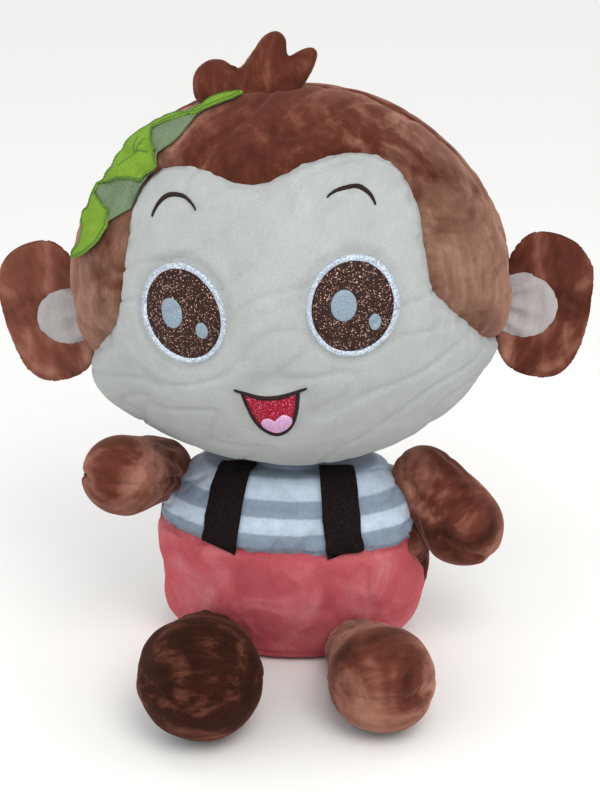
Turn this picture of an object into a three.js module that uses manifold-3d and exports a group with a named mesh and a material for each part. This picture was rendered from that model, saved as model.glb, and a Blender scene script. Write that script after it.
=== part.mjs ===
// A seated plush monkey: big head with embroidered face, round ears, a hair tuft, a felt leaf, a striped
// shirt with coral shorts and dark braces, stuffed arms and legs.
// Millimetres, +Z up. The toy faces -Y and sits on Z = 0; its own left side is +X.
// Every stuffed part is a soft shell of sewn panels around a stuffing core.
import * as THREE from 'three';
import { mergeVertices } from 'three/addons/utils/BufferGeometryUtils.js';
import Module from 'manifold-3d';

const wasm = await Module();
wasm.setup();

// ---- driving dimensions ----
const SKIN = 2;              // plush panel with its backing
const GAP = 0.35;            // clearance between neighbouring pieces
const THREAD = 1;            // height of the embroidery above the plush
const REACH = 200;           // longer than any outline is deep

const HEAD = { centre: [0, -12, 220], half: [121, 92, 106], roll: 2.7, columns: 22, rows: 14 };
const FACE = {
  peak: 71, lobe: 79.5, lobeX: 45, sideX: 79, sideTop: 56, sideLow: 16, cheekX: 104, cheekZ: -22,
};
const EYE = { x: 42.5, z: 5, halfWidth: 23.6, halfHeight: 26.6, rim: 3.6, tilt: 12 };
// place in the eye, half width and half height of the two highlights
const GLINTS = { large: [-5, 1, 6, 7.8], small: [10, -8, 3, 4.2] };
const BROW = { x: 46, z: 55, halfWidth: 12, rise: 9, thickness: 2.6 };
const MOUTH = { corner: 20, top: -36, sag: 6, half: 14, chin: -66, line: 2.4, round: 8 };
const TONGUE = { inset: 2.5, half: 5.5, height: 11, bulge: 2, shoulder: 4, notch: 2.5 };
const HEAD_SEAM_Y = 2;       // the coronal seam between the front and back panels, from the head centre

const TORSO = {
  centre: [0, -7, 50], half: [81, 53, 66], squareAbove: 3.2, squareBelow: 2.3, taper: 0.05, top: 111,
  columns: 20, rows: 14,
};
const WAIST = 69;            // height of the seam between shirt and shorts
const SIDE_SEAM_Y = -8;      // front of this the shirt and shorts, behind it the brown back panels
const NECK = { radius: 20, base: 92, top: 111.5 };
const BRACE = { width: 18, thickness: 1.5, xTop: 27, xLow: 35, top: 108, bottom: 66.5 };

const EAR = { half: [28.5, 7.5, 43], centreX: 12, root: [7, 6.8, 38], hinge: [126.2, 4, -17], tilt: 10 };
const EAR_PATCH = { x: 4, inner: 2, halfWidth: 18, halfHeight: 18 };
const TUFT = { half: 6.5, rootHalfWidth: 26, hinge: [-18, -18, 110.6], slope: 7, lean: -10, base: -2.3 };
const TUFT_LOBES = [
  { x: -17, z: 5, halfWidth: 12, halfHeight: 11.5, tilt: 15 },
  { x: 3, z: 11, halfWidth: 14, halfHeight: 18, tilt: -14 },
  { x: 20, z: 8, halfWidth: 12, halfHeight: 14, tilt: -24 },
];
const LEAF = { lift: 3, sheet: 1.2, tilt: 48, length: 130, stem: [-16, -36, 108] };
// distance along the leaf and its half width there
const LEAF_EDGE = [[4, 6], [36, 8], [54, 27], [74, 22], [84, 27], [104, 12]];

const ARM = { root: 17, end: 22, length: 42 };
const LEG = { root: 18 };
const LIMBS = [
  { name: 'arm_right', ...ARM, pivot: [-67, -22, 106], aim: [-0.5, -0.84, 0.22], range: [-25, 12] },
  { name: 'arm_left', ...ARM, pivot: [69.5, -10, 104], aim: [0.74, -0.2, -0.64], range: [-13, 30] },
  {
    name: 'leg_right', ...LEG, length: 76, end: 33.2,
    pivot: [-44, -58, 20.5], aim: [0.14, -0.97, 0.17], range: [-20, 30],
  },
  {
    name: 'leg_left', ...LEG, length: 60, end: 28.5,
    pivot: [45, -57, 20.5], aim: [0.27, -0.94, 0.14], range: [-20, 30],
  },
];
const LIMB_SIDES = 14;
const LIMB_ARC_STEPS = 4;    // steps in the rounded root and in the rounded end of a limb
const SWING_CLEARANCE = 1.2;  // between a limb and the torso, over the whole swing

// ---- materials ----
const COLOUR = {
  brownPlush: 0x7a4437, creamPlush: 0xd8d6cb, earPlush: 0xb9b3b3, coralPlush: 0xb9565c, shirt: 0xa2adb8,
  brace: 0x251a1c, leaf: 0x8dbb3c, leafBack: 0x66785f, rim: 0xc8d4e2, iris: 0x3e2320, glint: 0xa8b8c8,
  line: 0x33262a, mouth: 0xb3122f, tongue: 0xe3b5dc, stuffing: 0xf2f0ea,
};

function cloth(colour, roughness = 0.95) {
  return new THREE.MeshStandardMaterial({ color: colour, roughness, metalness: 0 });
}

// ---- solids and meshes ----
function solid(geometry) {
  const plain = geometry.clone();
  plain.deleteAttribute('normal');
  plain.deleteAttribute('uv');
  const merged = mergeVertices(plain, 1e-4);
  const corners = Array.from(merged.index.array);
  const kept = [];
  for (let i = 0; i < corners.length; i += 3) {
    const [a, b, c] = corners.slice(i, i + 3);
    if (a !== b && b !== c && c !== a) {
      kept.push(a, b, c);
    }
  }
  const vertProperties = new Float32Array(merged.attributes.position.array);
  return new wasm.Manifold(new wasm.Mesh({ numProp: 3, vertProperties, triVerts: new Uint32Array(kept) }));
}

function piece(name, manifold, material) {
  const mesh = manifold.getMesh();
  const geometry = new THREE.BufferGeometry();
  geometry.setAttribute('position', new THREE.BufferAttribute(mesh.vertProperties, 3));
  geometry.setIndex(new THREE.BufferAttribute(mesh.triVerts, 1));
  geometry.computeVertexNormals();
  const result = new THREE.Mesh(geometry, material);
  result.name = name;
  return result;
}

function radians(degrees) {
  return THREE.MathUtils.degToRad(degrees);
}

function boxBetween(low, high) {
  const size = high.map((value, i) => value - low[i]);
  const box = new THREE.BoxGeometry(...size);
  box.translate(...low.map((value, i) => value + size[i] / 2));
  return solid(box);
}

function slab(low, high) {
  return boxBetween([-REACH, -REACH, low], [REACH, REACH, high]);
}

// Moves every point of a unit sphere with its poles on Z.
function softBody(columns, rows, place) {
  const geometry = new THREE.SphereGeometry(1, columns, rows);
  geometry.rotateX(Math.PI / 2);
  const position = geometry.attributes.position;
  const point = new THREE.Vector3();
  for (let i = 0; i < position.count; i += 1) {
    point.fromBufferAttribute(position, i);
    place(point);
    position.setXYZ(i, point.x, point.y, point.z);
  }
  return solid(geometry);
}

// A prism along Y through an outline drawn in X and Z, between two Y positions.
function frontPrism(shape, fromY, toY, curveSegments = 6) {
  const depth = toY - fromY;
  const geometry = new THREE.ExtrudeGeometry(shape, { depth, bevelEnabled: false, curveSegments });
  geometry.rotateX(Math.PI / 2);
  geometry.translate(0, toY, 0);
  return solid(geometry);
}

function outline(points) {
  return new THREE.Shape(points.map(([x, z]) => new THREE.Vector2(x, z)));
}

// ---- head ----
function headSolid(offset) {
  const [a, b, c] = HEAD.half.map((value) => value + offset);
  return softBody(HEAD.columns, HEAD.rows, (p) => p.set(p.x * a, p.y * b, p.z * c));
}

// The cream face: two rounded lobes over the eyes with a dip between them, wide cheeks and the whole jaw.
function faceOutline() {
  const shape = new THREE.Shape();
  shape.moveTo(0, FACE.peak);
  shape.quadraticCurveTo(FACE.lobeX / 2, FACE.lobe, FACE.lobeX, FACE.lobe);
  shape.quadraticCurveTo(FACE.sideX, FACE.lobe, FACE.sideX, FACE.sideTop);
  shape.lineTo(FACE.sideX + 3, FACE.sideLow);
  shape.quadraticCurveTo(FACE.sideX + 8, FACE.sideLow / 4, FACE.cheekX, FACE.cheekZ);
  shape.lineTo(HEAD.half[0] + 5, FACE.cheekZ * 3);
  shape.lineTo(HEAD.half[0] + 5, -HEAD.half[2] - 5);
  shape.lineTo(-HEAD.half[0] - 5, -HEAD.half[2] - 5);
  shape.lineTo(-HEAD.half[0] - 5, FACE.cheekZ * 3);
  shape.lineTo(-FACE.cheekX, FACE.cheekZ);
  shape.quadraticCurveTo(-FACE.sideX - 8, FACE.sideLow / 4, -FACE.sideX - 3, FACE.sideLow);
  shape.lineTo(-FACE.sideX, FACE.sideTop);
  shape.quadraticCurveTo(-FACE.sideX, FACE.lobe, -FACE.lobeX, FACE.lobe);
  shape.quadraticCurveTo(-FACE.lobeX / 2, FACE.lobe, 0, FACE.peak);
  return shape;
}

function ellipseOutline(x, z, halfWidth, halfHeight, tilt) {
  const shape = new THREE.Shape();
  shape.absellipse(x, z, halfWidth, halfHeight, 0, Math.PI * 2, false, radians(tilt));
  return shape;
}

function browOutline(side) {
  const steps = [-1, -0.5, 0, 0.5, 1];
  const arch = (t) => BROW.z + BROW.rise * (1 - t * t);
  const edge = (offset) => steps.map((t) => [side * BROW.x + BROW.halfWidth * t, arch(t) + offset]);
  return outline([...edge(-BROW.thickness / 2), ...edge(BROW.thickness / 2).reverse()]);
}

// The open lips: a sagging upper edge over a narrow rounded chin end.
function lipOutline(shrink) {
  const half = MOUTH.half - shrink;
  const top = MOUTH.top - MOUTH.sag / 2 - shrink;
  const chin = MOUTH.chin + shrink;
  const shape = new THREE.Shape();
  shape.moveTo(-half, top);
  shape.quadraticCurveTo(0, top - MOUTH.sag, half, top);
  shape.bezierCurveTo(half, chin + MOUTH.round, half / 2, chin, 0, chin);
  shape.bezierCurveTo(-half / 2, chin, -half, chin + MOUTH.round, -half, top);
  return shape;
}

// The lips with the smile line running on past both corners.
function mouthOutline() {
  const { corner, top, sag, half, chin, line } = MOUTH;
  const shape = new THREE.Shape();
  shape.moveTo(-corner, top);
  shape.quadraticCurveTo(0, top - 2 * sag, corner, top);
  shape.lineTo(corner, top - line);
  shape.lineTo(half, top - 2 * line);
  shape.bezierCurveTo(half, chin + MOUTH.round, half / 2, chin, 0, chin);
  shape.bezierCurveTo(-half / 2, chin, -half, chin + MOUTH.round, -half, top - 2 * line);
  shape.lineTo(-corner, top - line);
  return shape;
}

// A heart-topped tongue standing on the lower lip.
function tongueOutline(grow) {
  const { inset, bulge, shoulder, notch } = TONGUE;
  const base = MOUTH.chin + MOUTH.line + inset - grow;
  const half = TONGUE.half + grow;
  const top = base + TONGUE.height + 2 * grow;
  const shape = new THREE.Shape();
  shape.moveTo(0, base);
  shape.bezierCurveTo(half, base, half + bulge, top - shoulder, half, top - bulge / 2);
  shape.quadraticCurveTo(half / 2, top + bulge, 0, top - notch);
  shape.quadraticCurveTo(-half / 2, top + bulge, -half, top - bulge / 2);
  shape.bezierCurveTo(-half - bulge, top - shoulder, -half, base, 0, base);
  return shape;
}

function buildHead() {
  const group = new THREE.Group();
  group.position.set(...HEAD.centre);
  group.rotation.y = radians(-HEAD.roll);
  const [width, depth, height] = HEAD.half.map((value) => value + 2 * GAP);
  const shell = headSolid(0).subtract(headSolid(-SKIN));
  const backHalf = boxBetween([-width, HEAD_SEAM_Y, -height], [width, depth, height]);
  const frontHalf = boxBetween([-width, -depth, -height], [width, HEAD_SEAM_Y - GAP, height]);
  const facePrism = frontPrism(faceOutline(), -REACH, HEAD_SEAM_Y);
  const wider = 1 + GAP / FACE.peak;
  const widerFace = facePrism.scale([wider, 1, wider]);
  const frontShell = shell.intersect(frontHalf);
  const backShell = shell.intersect(backHalf);
  const brown = () => cloth(COLOUR.brownPlush);
  group.add(piece('face_panel', frontShell.intersect(facePrism), cloth(COLOUR.creamPlush)));
  group.add(piece('hair_front_panel', frontShell.subtract(widerFace), brown()));
  for (const [name, side] of [['left', 1], ['right', -1]]) {
    const edges = [side * GAP / 2, side * width].sort((a, b) => a - b);
    const half = boxBetween([edges[0], -depth, -height], [edges[1], depth, height]);
    group.add(piece(`head_back_${name}`, backShell.intersect(half), brown()));
  }
  group.add(piece('head_stuffing', headSolid(-SKIN - GAP), cloth(COLOUR.stuffing)));

  // embroidery, a thin raised shell over the face
  const raised = headSolid(GAP + THREAD).subtract(headSolid(GAP));
  const prism = (shape) => frontPrism(shape, -REACH, 0);
  const stitch = (name, region, colour, roughness) => {
    group.add(piece(name, raised.intersect(region), cloth(colour, roughness)));
  };
  for (const [name, side] of [['left', 1], ['right', -1]]) {
    const eye = (shrink) => prism(ellipseOutline(
      side * EYE.x, EYE.z, EYE.halfWidth - shrink, EYE.halfHeight - shrink, side * -EYE.tilt,
    ));
    const glint = ([dx, dz, halfWidth, halfHeight], grow) => prism(ellipseOutline(
      side * EYE.x + dx, EYE.z + dz, halfWidth + grow, halfHeight + grow, 0,
    ));
    stitch(`eye_rim_${name}`, eye(0).subtract(eye(EYE.rim)), COLOUR.rim, 0.5);
    const iris = eye(EYE.rim + GAP).subtract(glint(GLINTS.large, GAP)).subtract(glint(GLINTS.small, GAP));
    stitch(`eye_iris_${name}`, iris, COLOUR.iris, 0.4);
    stitch(`eye_glint_large_${name}`, glint(GLINTS.large, 0), COLOUR.glint, 0.5);
    stitch(`eye_glint_small_${name}`, glint(GLINTS.small, 0), COLOUR.glint, 0.5);
    stitch(`brow_${name}`, prism(browOutline(side)), COLOUR.line, 0.6);
  }
  stitch('mouth_outline', prism(mouthOutline()).subtract(prism(lipOutline(MOUTH.line))), COLOUR.line, 0.6);
  const lips = prism(lipOutline(MOUTH.line + GAP));
  stitch('mouth_fill', lips.subtract(prism(tongueOutline(GAP))), COLOUR.mouth, 0.4);
  stitch('tongue', prism(tongueOutline(0)), COLOUR.tongue, 0.5);
  return group;
}

// ---- ears ----
function earSolid(offset) {
  const [a, b, c] = EAR.half.map((value) => value + offset);
  const disc = softBody(12, 8, (p) => p.set(p.x * a + EAR.centreX, p.y * b, p.z * c));
  const [ra, rb, rc] = EAR.root.map((value) => value + offset);
  const root = softBody(10, 6, (p) => p.set(p.x * ra, p.y * rb, p.z * rc));
  return disc.intersect(boxBetween([0, -REACH, -REACH], [REACH, REACH, REACH])).add(root);
}

function buildEar(name, side) {
  const group = new THREE.Group();
  group.position.set(side * EAR.hinge[0], EAR.hinge[1], EAR.hinge[2]);
  group.rotation.y = side * radians(EAR.tilt);
  const mirrored = (manifold) => (side < 0 ? manifold.mirror([1, 0, 0]) : manifold);
  const shell = earSolid(0).subtract(earSolid(-SKIN));
  const front = boxBetween([-REACH, -REACH, -REACH], [REACH, -GAP / 2, REACH]);
  const back = boxBetween([-REACH, GAP / 2, -REACH], [REACH, REACH, REACH]);
  const oval = ellipseOutline(EAR_PATCH.x, 0, EAR_PATCH.halfWidth, EAR_PATCH.halfHeight, 0);
  const clearOfHead = boxBetween([EAR_PATCH.inner, -REACH, -REACH], [REACH, REACH, REACH]);
  const patchRegion = frontPrism(oval, -REACH, 0).intersect(clearOfHead);
  const patch = earSolid(GAP + THREAD).subtract(earSolid(GAP)).intersect(patchRegion);
  group.add(piece(`ear_front_${name}`, mirrored(shell.intersect(front)), cloth(COLOUR.brownPlush)));
  group.add(piece(`ear_back_${name}`, mirrored(shell.intersect(back)), cloth(COLOUR.brownPlush)));
  group.add(piece(`ear_inner_${name}`, mirrored(patch), cloth(COLOUR.earPlush)));
  group.add(piece(`ear_wadding_${name}`, mirrored(earSolid(-SKIN - GAP)), cloth(COLOUR.stuffing)));
  return group;
}

// ---- hair tuft: three flat lobes fanning out of one rounded root ----
function tuftSolid(offset) {
  const half = TUFT.half + offset;
  let tuft = softBody(8, 6, (p) => p.set(p.x * (TUFT.rootHalfWidth + offset), p.y * half, p.z * half));
  for (const lobe of TUFT_LOBES) {
    const width = lobe.halfWidth + offset;
    const height = lobe.halfHeight + offset;
    const lobeSolid = softBody(10, 6, (p) => {
      p.set(p.x * width, p.y * half, p.z * height);
      p.applyAxisAngle(new THREE.Vector3(0, 1, 0), radians(-lobe.tilt));
      p.add(new THREE.Vector3(lobe.x, 0, lobe.z));
    });
    tuft = tuft.add(lobeSolid.intersect(slab(TUFT.base, REACH)));
  }
  return tuft;
}

function buildTuft() {
  const group = new THREE.Group();
  group.position.set(...TUFT.hinge);
  group.rotation.order = 'YXZ';
  group.rotation.y = radians(-TUFT.slope);
  group.rotation.x = radians(TUFT.lean);
  const shell = tuftSolid(0).subtract(tuftSolid(-SKIN));
  const front = boxBetween([-REACH, -REACH, -REACH], [REACH, -GAP / 2, REACH]);
  const back = boxBetween([-REACH, GAP / 2, -REACH], [REACH, REACH, REACH]);
  group.add(piece('tuft_front', shell.intersect(front), cloth(COLOUR.brownPlush)));
  group.add(piece('tuft_back', shell.intersect(back), cloth(COLOUR.brownPlush)));
  group.add(piece('tuft_wadding', tuftSolid(-SKIN - GAP), cloth(COLOUR.stuffing)));
  return group;
}

// ---- leaf: two felt layers that follow the crown of the head ----
function leafOutline() {
  const shape = new THREE.Shape();
  shape.moveTo(0, 0);
  for (const [along, across] of LEAF_EDGE) {
    shape.lineTo(across, along);
  }
  shape.lineTo(0, LEAF.length);
  for (const [along, across] of [...LEAF_EDGE].reverse()) {
    shape.lineTo(-across, along);
  }
  return shape;
}

function buildLeaf() {
  const group = new THREE.Group();
  // the prism looks down on the crown, and the outline runs from the stem to the tip along its Y
  const geometry = new THREE.ExtrudeGeometry(leafOutline(), { depth: REACH, bevelEnabled: false });
  geometry.rotateZ(Math.PI / 2);
  geometry.rotateY(radians(-LEAF.tilt));
  geometry.translate(...LEAF.stem);
  const prism = solid(geometry);
  const back = headSolid(LEAF.lift + LEAF.sheet).subtract(headSolid(LEAF.lift));
  const topLow = LEAF.lift + LEAF.sheet + GAP;
  const top = headSolid(topLow + LEAF.sheet).subtract(headSolid(topLow));
  group.add(piece('leaf_backing', back.intersect(prism), cloth(COLOUR.leafBack)));
  group.add(piece('leaf_top', top.intersect(prism), cloth(COLOUR.leaf)));
  return group;
}

// ---- limbs: a rounded root in a socket, widening to a rounded end ----
function limbSolid(limb, offset) {
  const root = limb.root + offset;
  const end = limb.end + offset;
  const lean = Math.asin((end - root) / limb.length);
  const arc = (centre, radius, from, to) => Array.from({ length: LIMB_ARC_STEPS + 1 }, (_, i) => {
    const angle = from + ((to - from) * i) / LIMB_ARC_STEPS;
    return new THREE.Vector2(radius * Math.cos(angle), centre + radius * Math.sin(angle));
  });
  const profile = [...arc(0, root, -Math.PI / 2, -lean), ...arc(limb.length, end, -lean, Math.PI / 2)];
  profile[0].x = 0;
  profile[profile.length - 1].x = 0;
  return solid(new THREE.LatheGeometry(profile, LIMB_SIDES));
}

function limbFrame(limb) {
  const aim = new THREE.Vector3(...limb.aim).normalize();
  const side = new THREE.Vector3().crossVectors(aim, new THREE.Vector3(0, 0, 1)).normalize();
  const up = new THREE.Vector3().crossVectors(side, aim);
  const matrix = new THREE.Matrix4().makeBasis(up, aim, new THREE.Vector3().crossVectors(up, aim));
  return { side, matrix };
}

function buildLimb(limb) {
  const group = new THREE.Group();
  group.position.set(...limb.pivot);
  group.quaternion.setFromRotationMatrix(limbFrame(limb).matrix);
  const shell = limbSolid(limb, 0).subtract(limbSolid(limb, -SKIN));
  const upper = boxBetween([GAP / 2, -REACH, -REACH], [REACH, REACH, REACH]);
  const under = boxBetween([-REACH, -REACH, -REACH], [-GAP / 2, REACH, REACH]);
  group.add(piece(`${limb.name}_upper`, shell.intersect(upper), cloth(COLOUR.brownPlush)));
  group.add(piece(`${limb.name}_under`, shell.intersect(under), cloth(COLOUR.brownPlush)));
  group.add(piece(`${limb.name}_stuffing`, limbSolid(limb, -SKIN - GAP), cloth(COLOUR.stuffing)));
  return group;
}

// All the room that a limb needs over its swing, in the frame of the toy: the limb aimed at the middle of
// its range, with an end as wide as the arc that the real end sweeps.
function limbRoom(limb) {
  const { side, matrix } = limbFrame(limb);
  const [low, high] = limb.range.map(radians);
  const swing = 2 * limb.length * Math.sin((high - low) / 4);
  const envelope = limbSolid({ ...limb, end: limb.end + swing }, SWING_CLEARANCE);
  const turn = new THREE.Matrix4().makeRotationAxis(side, (low + high) / 2).multiply(matrix);
  turn.setPosition(...limb.pivot);
  return envelope.transform(turn.elements);
}

// ---- torso ----
function torsoSolid(offset) {
  return softBody(TORSO.columns, TORSO.rows, (p) => {
    const power = p.z > 0 ? TORSO.squareAbove : TORSO.squareBelow;
    const spread = Math.hypot(p.x, p.y);
    const full = (1 - Math.abs(p.z) ** power) ** (1 / power);
    const widen = spread > 1e-6 ? (full / spread) * (1 - TORSO.taper * p.z) : 0;
    const [a, b, c] = TORSO.half.map((value) => value + offset);
    p.set(p.x * a * widen, p.y * b * widen, p.z * c).add(new THREE.Vector3(...TORSO.centre));
  });
}

function bracePrism(side) {
  const half = BRACE.width / 2;
  return frontPrism(outline([
    [side * BRACE.xLow - half, BRACE.bottom], [side * BRACE.xLow + half, BRACE.bottom],
    [side * BRACE.xTop + half, BRACE.top], [side * BRACE.xTop - half, BRACE.top],
  ]), -REACH, 0);
}

function neckPlug(radius, low, high) {
  const plug = new THREE.CylinderGeometry(radius, radius, high - low, 20);
  plug.rotateX(Math.PI / 2);
  plug.translate(TORSO.centre[0], TORSO.centre[1], (low + high) / 2);
  return solid(plug);
}

function buildTorso() {
  const group = new THREE.Group();
  const rooms = LIMBS.map(limbRoom).reduce((all, room) => all.add(room));
  const outer = torsoSolid(0).intersect(slab(0, TORSO.top));
  const inner = torsoSolid(-SKIN).intersect(slab(SKIN, TORSO.top - SKIN));
  const neckHole = neckPlug(NECK.radius + 2 * GAP, NECK.base - GAP, NECK.top + SKIN);
  const shell = outer.subtract(inner).subtract(rooms).subtract(neckHole);
  const region = (low, high) => shell.intersect(boxBetween(low, high));
  const front = SIDE_SEAM_Y - GAP;
  group.add(piece(
    'shirt_front', region([-REACH, -REACH, WAIST + GAP], [REACH, front, REACH]), cloth(COLOUR.shirt),
  ));
  group.add(piece(
    'shorts_front', region([-REACH, -REACH, SKIN + GAP], [REACH, front, WAIST]), cloth(COLOUR.coralPlush),
  ));
  const backLeft = region([GAP / 2, SIDE_SEAM_Y, SKIN + GAP], [REACH, REACH, REACH]);
  const backRight = region([-REACH, SIDE_SEAM_Y, SKIN + GAP], [-GAP / 2, REACH, REACH]);
  group.add(piece('back_left', backLeft, cloth(COLOUR.brownPlush)));
  group.add(piece('back_right', backRight, cloth(COLOUR.brownPlush)));
  group.add(piece('seat_panel', shell.intersect(slab(0, SKIN)), cloth(COLOUR.coralPlush)));
  const filling = torsoSolid(-SKIN - GAP).intersect(slab(SKIN + GAP, TORSO.top - SKIN - GAP));
  group.add(piece('body_stuffing', filling.subtract(rooms).subtract(neckHole), cloth(COLOUR.stuffing)));
  const braces = torsoSolid(GAP + BRACE.thickness).subtract(torsoSolid(GAP)).subtract(rooms);
  group.add(piece('brace_left', braces.intersect(bracePrism(1)), cloth(COLOUR.brace)));
  group.add(piece('brace_right', braces.intersect(bracePrism(-1)), cloth(COLOUR.brace)));
  group.add(piece('neck_stuffing', neckPlug(NECK.radius, NECK.base, NECK.top), cloth(COLOUR.stuffing)));
  return group;
}

const group = new THREE.Group();
const head = buildHead();
head.add(buildEar('left', 1), buildEar('right', -1), buildTuft(), buildLeaf());
group.add(head, buildTorso(), ...LIMBS.map(buildLimb));

export default group;
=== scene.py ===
"""A seated stuffed plush monkey: sewn plush panels, embroidery, felt leaf and braces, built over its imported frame."""
import math

import bmesh
import bpy
import numpy as np
from mathutils import Matrix, Vector, noise
from mathutils.bvhtree import BVHTree
from mathutils.kdtree import KDTree


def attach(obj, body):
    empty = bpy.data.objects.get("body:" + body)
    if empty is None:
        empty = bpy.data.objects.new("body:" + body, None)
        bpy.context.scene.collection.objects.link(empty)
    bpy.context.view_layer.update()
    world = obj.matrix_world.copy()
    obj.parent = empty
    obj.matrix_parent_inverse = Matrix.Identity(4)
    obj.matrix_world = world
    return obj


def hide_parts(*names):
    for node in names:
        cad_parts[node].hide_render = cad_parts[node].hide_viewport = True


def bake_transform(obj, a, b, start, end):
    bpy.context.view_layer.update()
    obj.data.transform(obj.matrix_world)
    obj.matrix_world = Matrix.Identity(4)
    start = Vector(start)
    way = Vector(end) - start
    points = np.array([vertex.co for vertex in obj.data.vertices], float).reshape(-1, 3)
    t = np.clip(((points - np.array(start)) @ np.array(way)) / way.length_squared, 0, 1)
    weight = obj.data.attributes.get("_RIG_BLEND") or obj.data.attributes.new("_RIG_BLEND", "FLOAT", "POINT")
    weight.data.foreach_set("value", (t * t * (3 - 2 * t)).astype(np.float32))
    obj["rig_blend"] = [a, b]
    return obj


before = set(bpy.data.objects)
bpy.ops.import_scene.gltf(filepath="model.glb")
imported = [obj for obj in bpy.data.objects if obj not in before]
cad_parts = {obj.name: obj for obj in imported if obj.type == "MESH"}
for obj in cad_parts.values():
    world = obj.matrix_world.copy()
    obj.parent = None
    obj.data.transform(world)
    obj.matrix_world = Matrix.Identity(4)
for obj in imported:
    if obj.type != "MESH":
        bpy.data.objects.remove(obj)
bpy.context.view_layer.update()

MM = 0.001

# ---- driving dimensions, in millimetres, as in the frame ----
HEAD_CENTRE = (0, -12, 220)
HEAD_HALF = np.array([121.0, 92.0, 106.0])
HEAD_ROLL = math.radians(2.7)
HEAD_SEAM_Y = 2.0
EYES = {"left": (42.3, 6.6, 23.0, 25.8, -4), "right": (-43.9, 4.0, 22.6, 26.2, 13)}   # x, z, half sizes, tilt
EYE_RIM = 3.0
BROWS = {"left": (42.0, 63.2), "right": (-48.5, 60.7)}
TORSO_CENTRE = np.array([0.0, -7.0, 50.0])
TORSO_HALF = np.array([81.0, 53.0, 66.0])
WAIST_Z = 71.5
SEAT_Z = 5.0
STRIPE, STRIPE_ORIGIN = 8.8, 79.0     # height of one stripe of the shirt, and of the lowest edge
SIDE_SEAM_Y = -8.0
BRACE_WIDTH, BRACE_THICKNESS = 19.5, 1.6
BRACE_X, BRACE_SPLAY, BRACE_SLANT = 27.5, 8, 0.25    # place at the top, then how far it moves out and tips lower down
BRACE_TOP = 127.0     # along the strap: the front of the torso to SHOULDER_Z, then over the shoulder
SHOULDER_Y, SHOULDER_Z, SHOULDER_TURN = -20.0, 92.0, 24.0
EAR_HINGE = (126.2, 4, -17)
EAR_TILT = math.radians(10)
EAR_MIDDLE, EAR_HALF_WIDTH, EAR_HALF_HEIGHT, EAR_DEPTH = 12, 27.3, 41.5, 8.0     # from the hinge outwards
EAR_PATCH_X, EAR_PATCH_HALF_WIDTH = 1, 20
EAR_PATCH_HEIGHTS = {1: (-2, 18), -1: (-5, 16)}     # middle and half height of the pale patch, left and right ear
TUFT_ROOT = (-13.0, -12.0, 103.0)

LIMBS = {
    "arm_right": dict(root=17, end=22.5, length=42, pivot=(-67, -22, 106), aim=(-0.5, -0.84, 0.22),
                      root_shift=(-10, 16, -6)),
    "arm_left": dict(root=17, end=23, length=42, pivot=(69.5, -10, 104), aim=(0.74, -0.2, -0.64),
                     root_shift=(6, 5, -2)),
    "leg_right": dict(root=18, end=33.2, length=76, pivot=(-44, -58, 20.5), aim=(0.14, -0.97, 0.17),
                      root_shift=(0, 0, -6)),
    "leg_left": dict(root=18, end=28.5, length=60, pivot=(45, -57, 20.5), aim=(0.27, -0.94, 0.14),
                     root_shift=(0, 0, -6)),
}

HEAD_PLACE = Matrix.Translation(Vector(HEAD_CENTRE) * MM) @ Matrix.Rotation(-HEAD_ROLL, 4, "Y")


# ---- camera ----
def make_camera():
    azimuth, elevation = math.radians(6.5), math.radians(20)
    target = Vector((6.7, -19.4, 150)) * MM
    distance = 950 * MM
    forward = Vector((
        -math.sin(azimuth) * math.cos(elevation), math.cos(azimuth) * math.cos(elevation), -math.sin(elevation),
    ))
    data = bpy.data.cameras.new("camera")
    data.sensor_fit = "VERTICAL"
    data.sensor_height = 36
    data.lens = 76.3
    camera = bpy.data.objects.new("camera", data)
    camera.location = target - forward * distance
    camera.rotation_euler = forward.to_track_quat("-Z", "Y").to_euler()
    bpy.context.scene.collection.objects.link(camera)
    bpy.context.scene.camera = camera


make_camera()


# cloth settings of each stuffed body: pressure, furthest move of a point in millimetres, and how short seams pull
STUFFING = {
    "head": dict(pressure=4.0, cap=6, shrink=0.05), "torso": dict(pressure=3.0, cap=5, shrink=0.05),
    "limb": dict(pressure=3.0, cap=3, shrink=0.05), "ear": dict(pressure=1.6, cap=2.5, shrink=0.03),
    "tuft": dict(pressure=1.5, cap=2, shrink=0.02),
}


# ---- colours and materials ----
def linear(hex_colour):
    channels = [int(hex_colour[i:i + 2], 16) / 255 for i in (0, 2, 4)]
    return [c / 12.92 if c <= 0.04045 else ((c + 0.055) / 1.055) ** 2.4 for c in channels] + [1.0]


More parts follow.
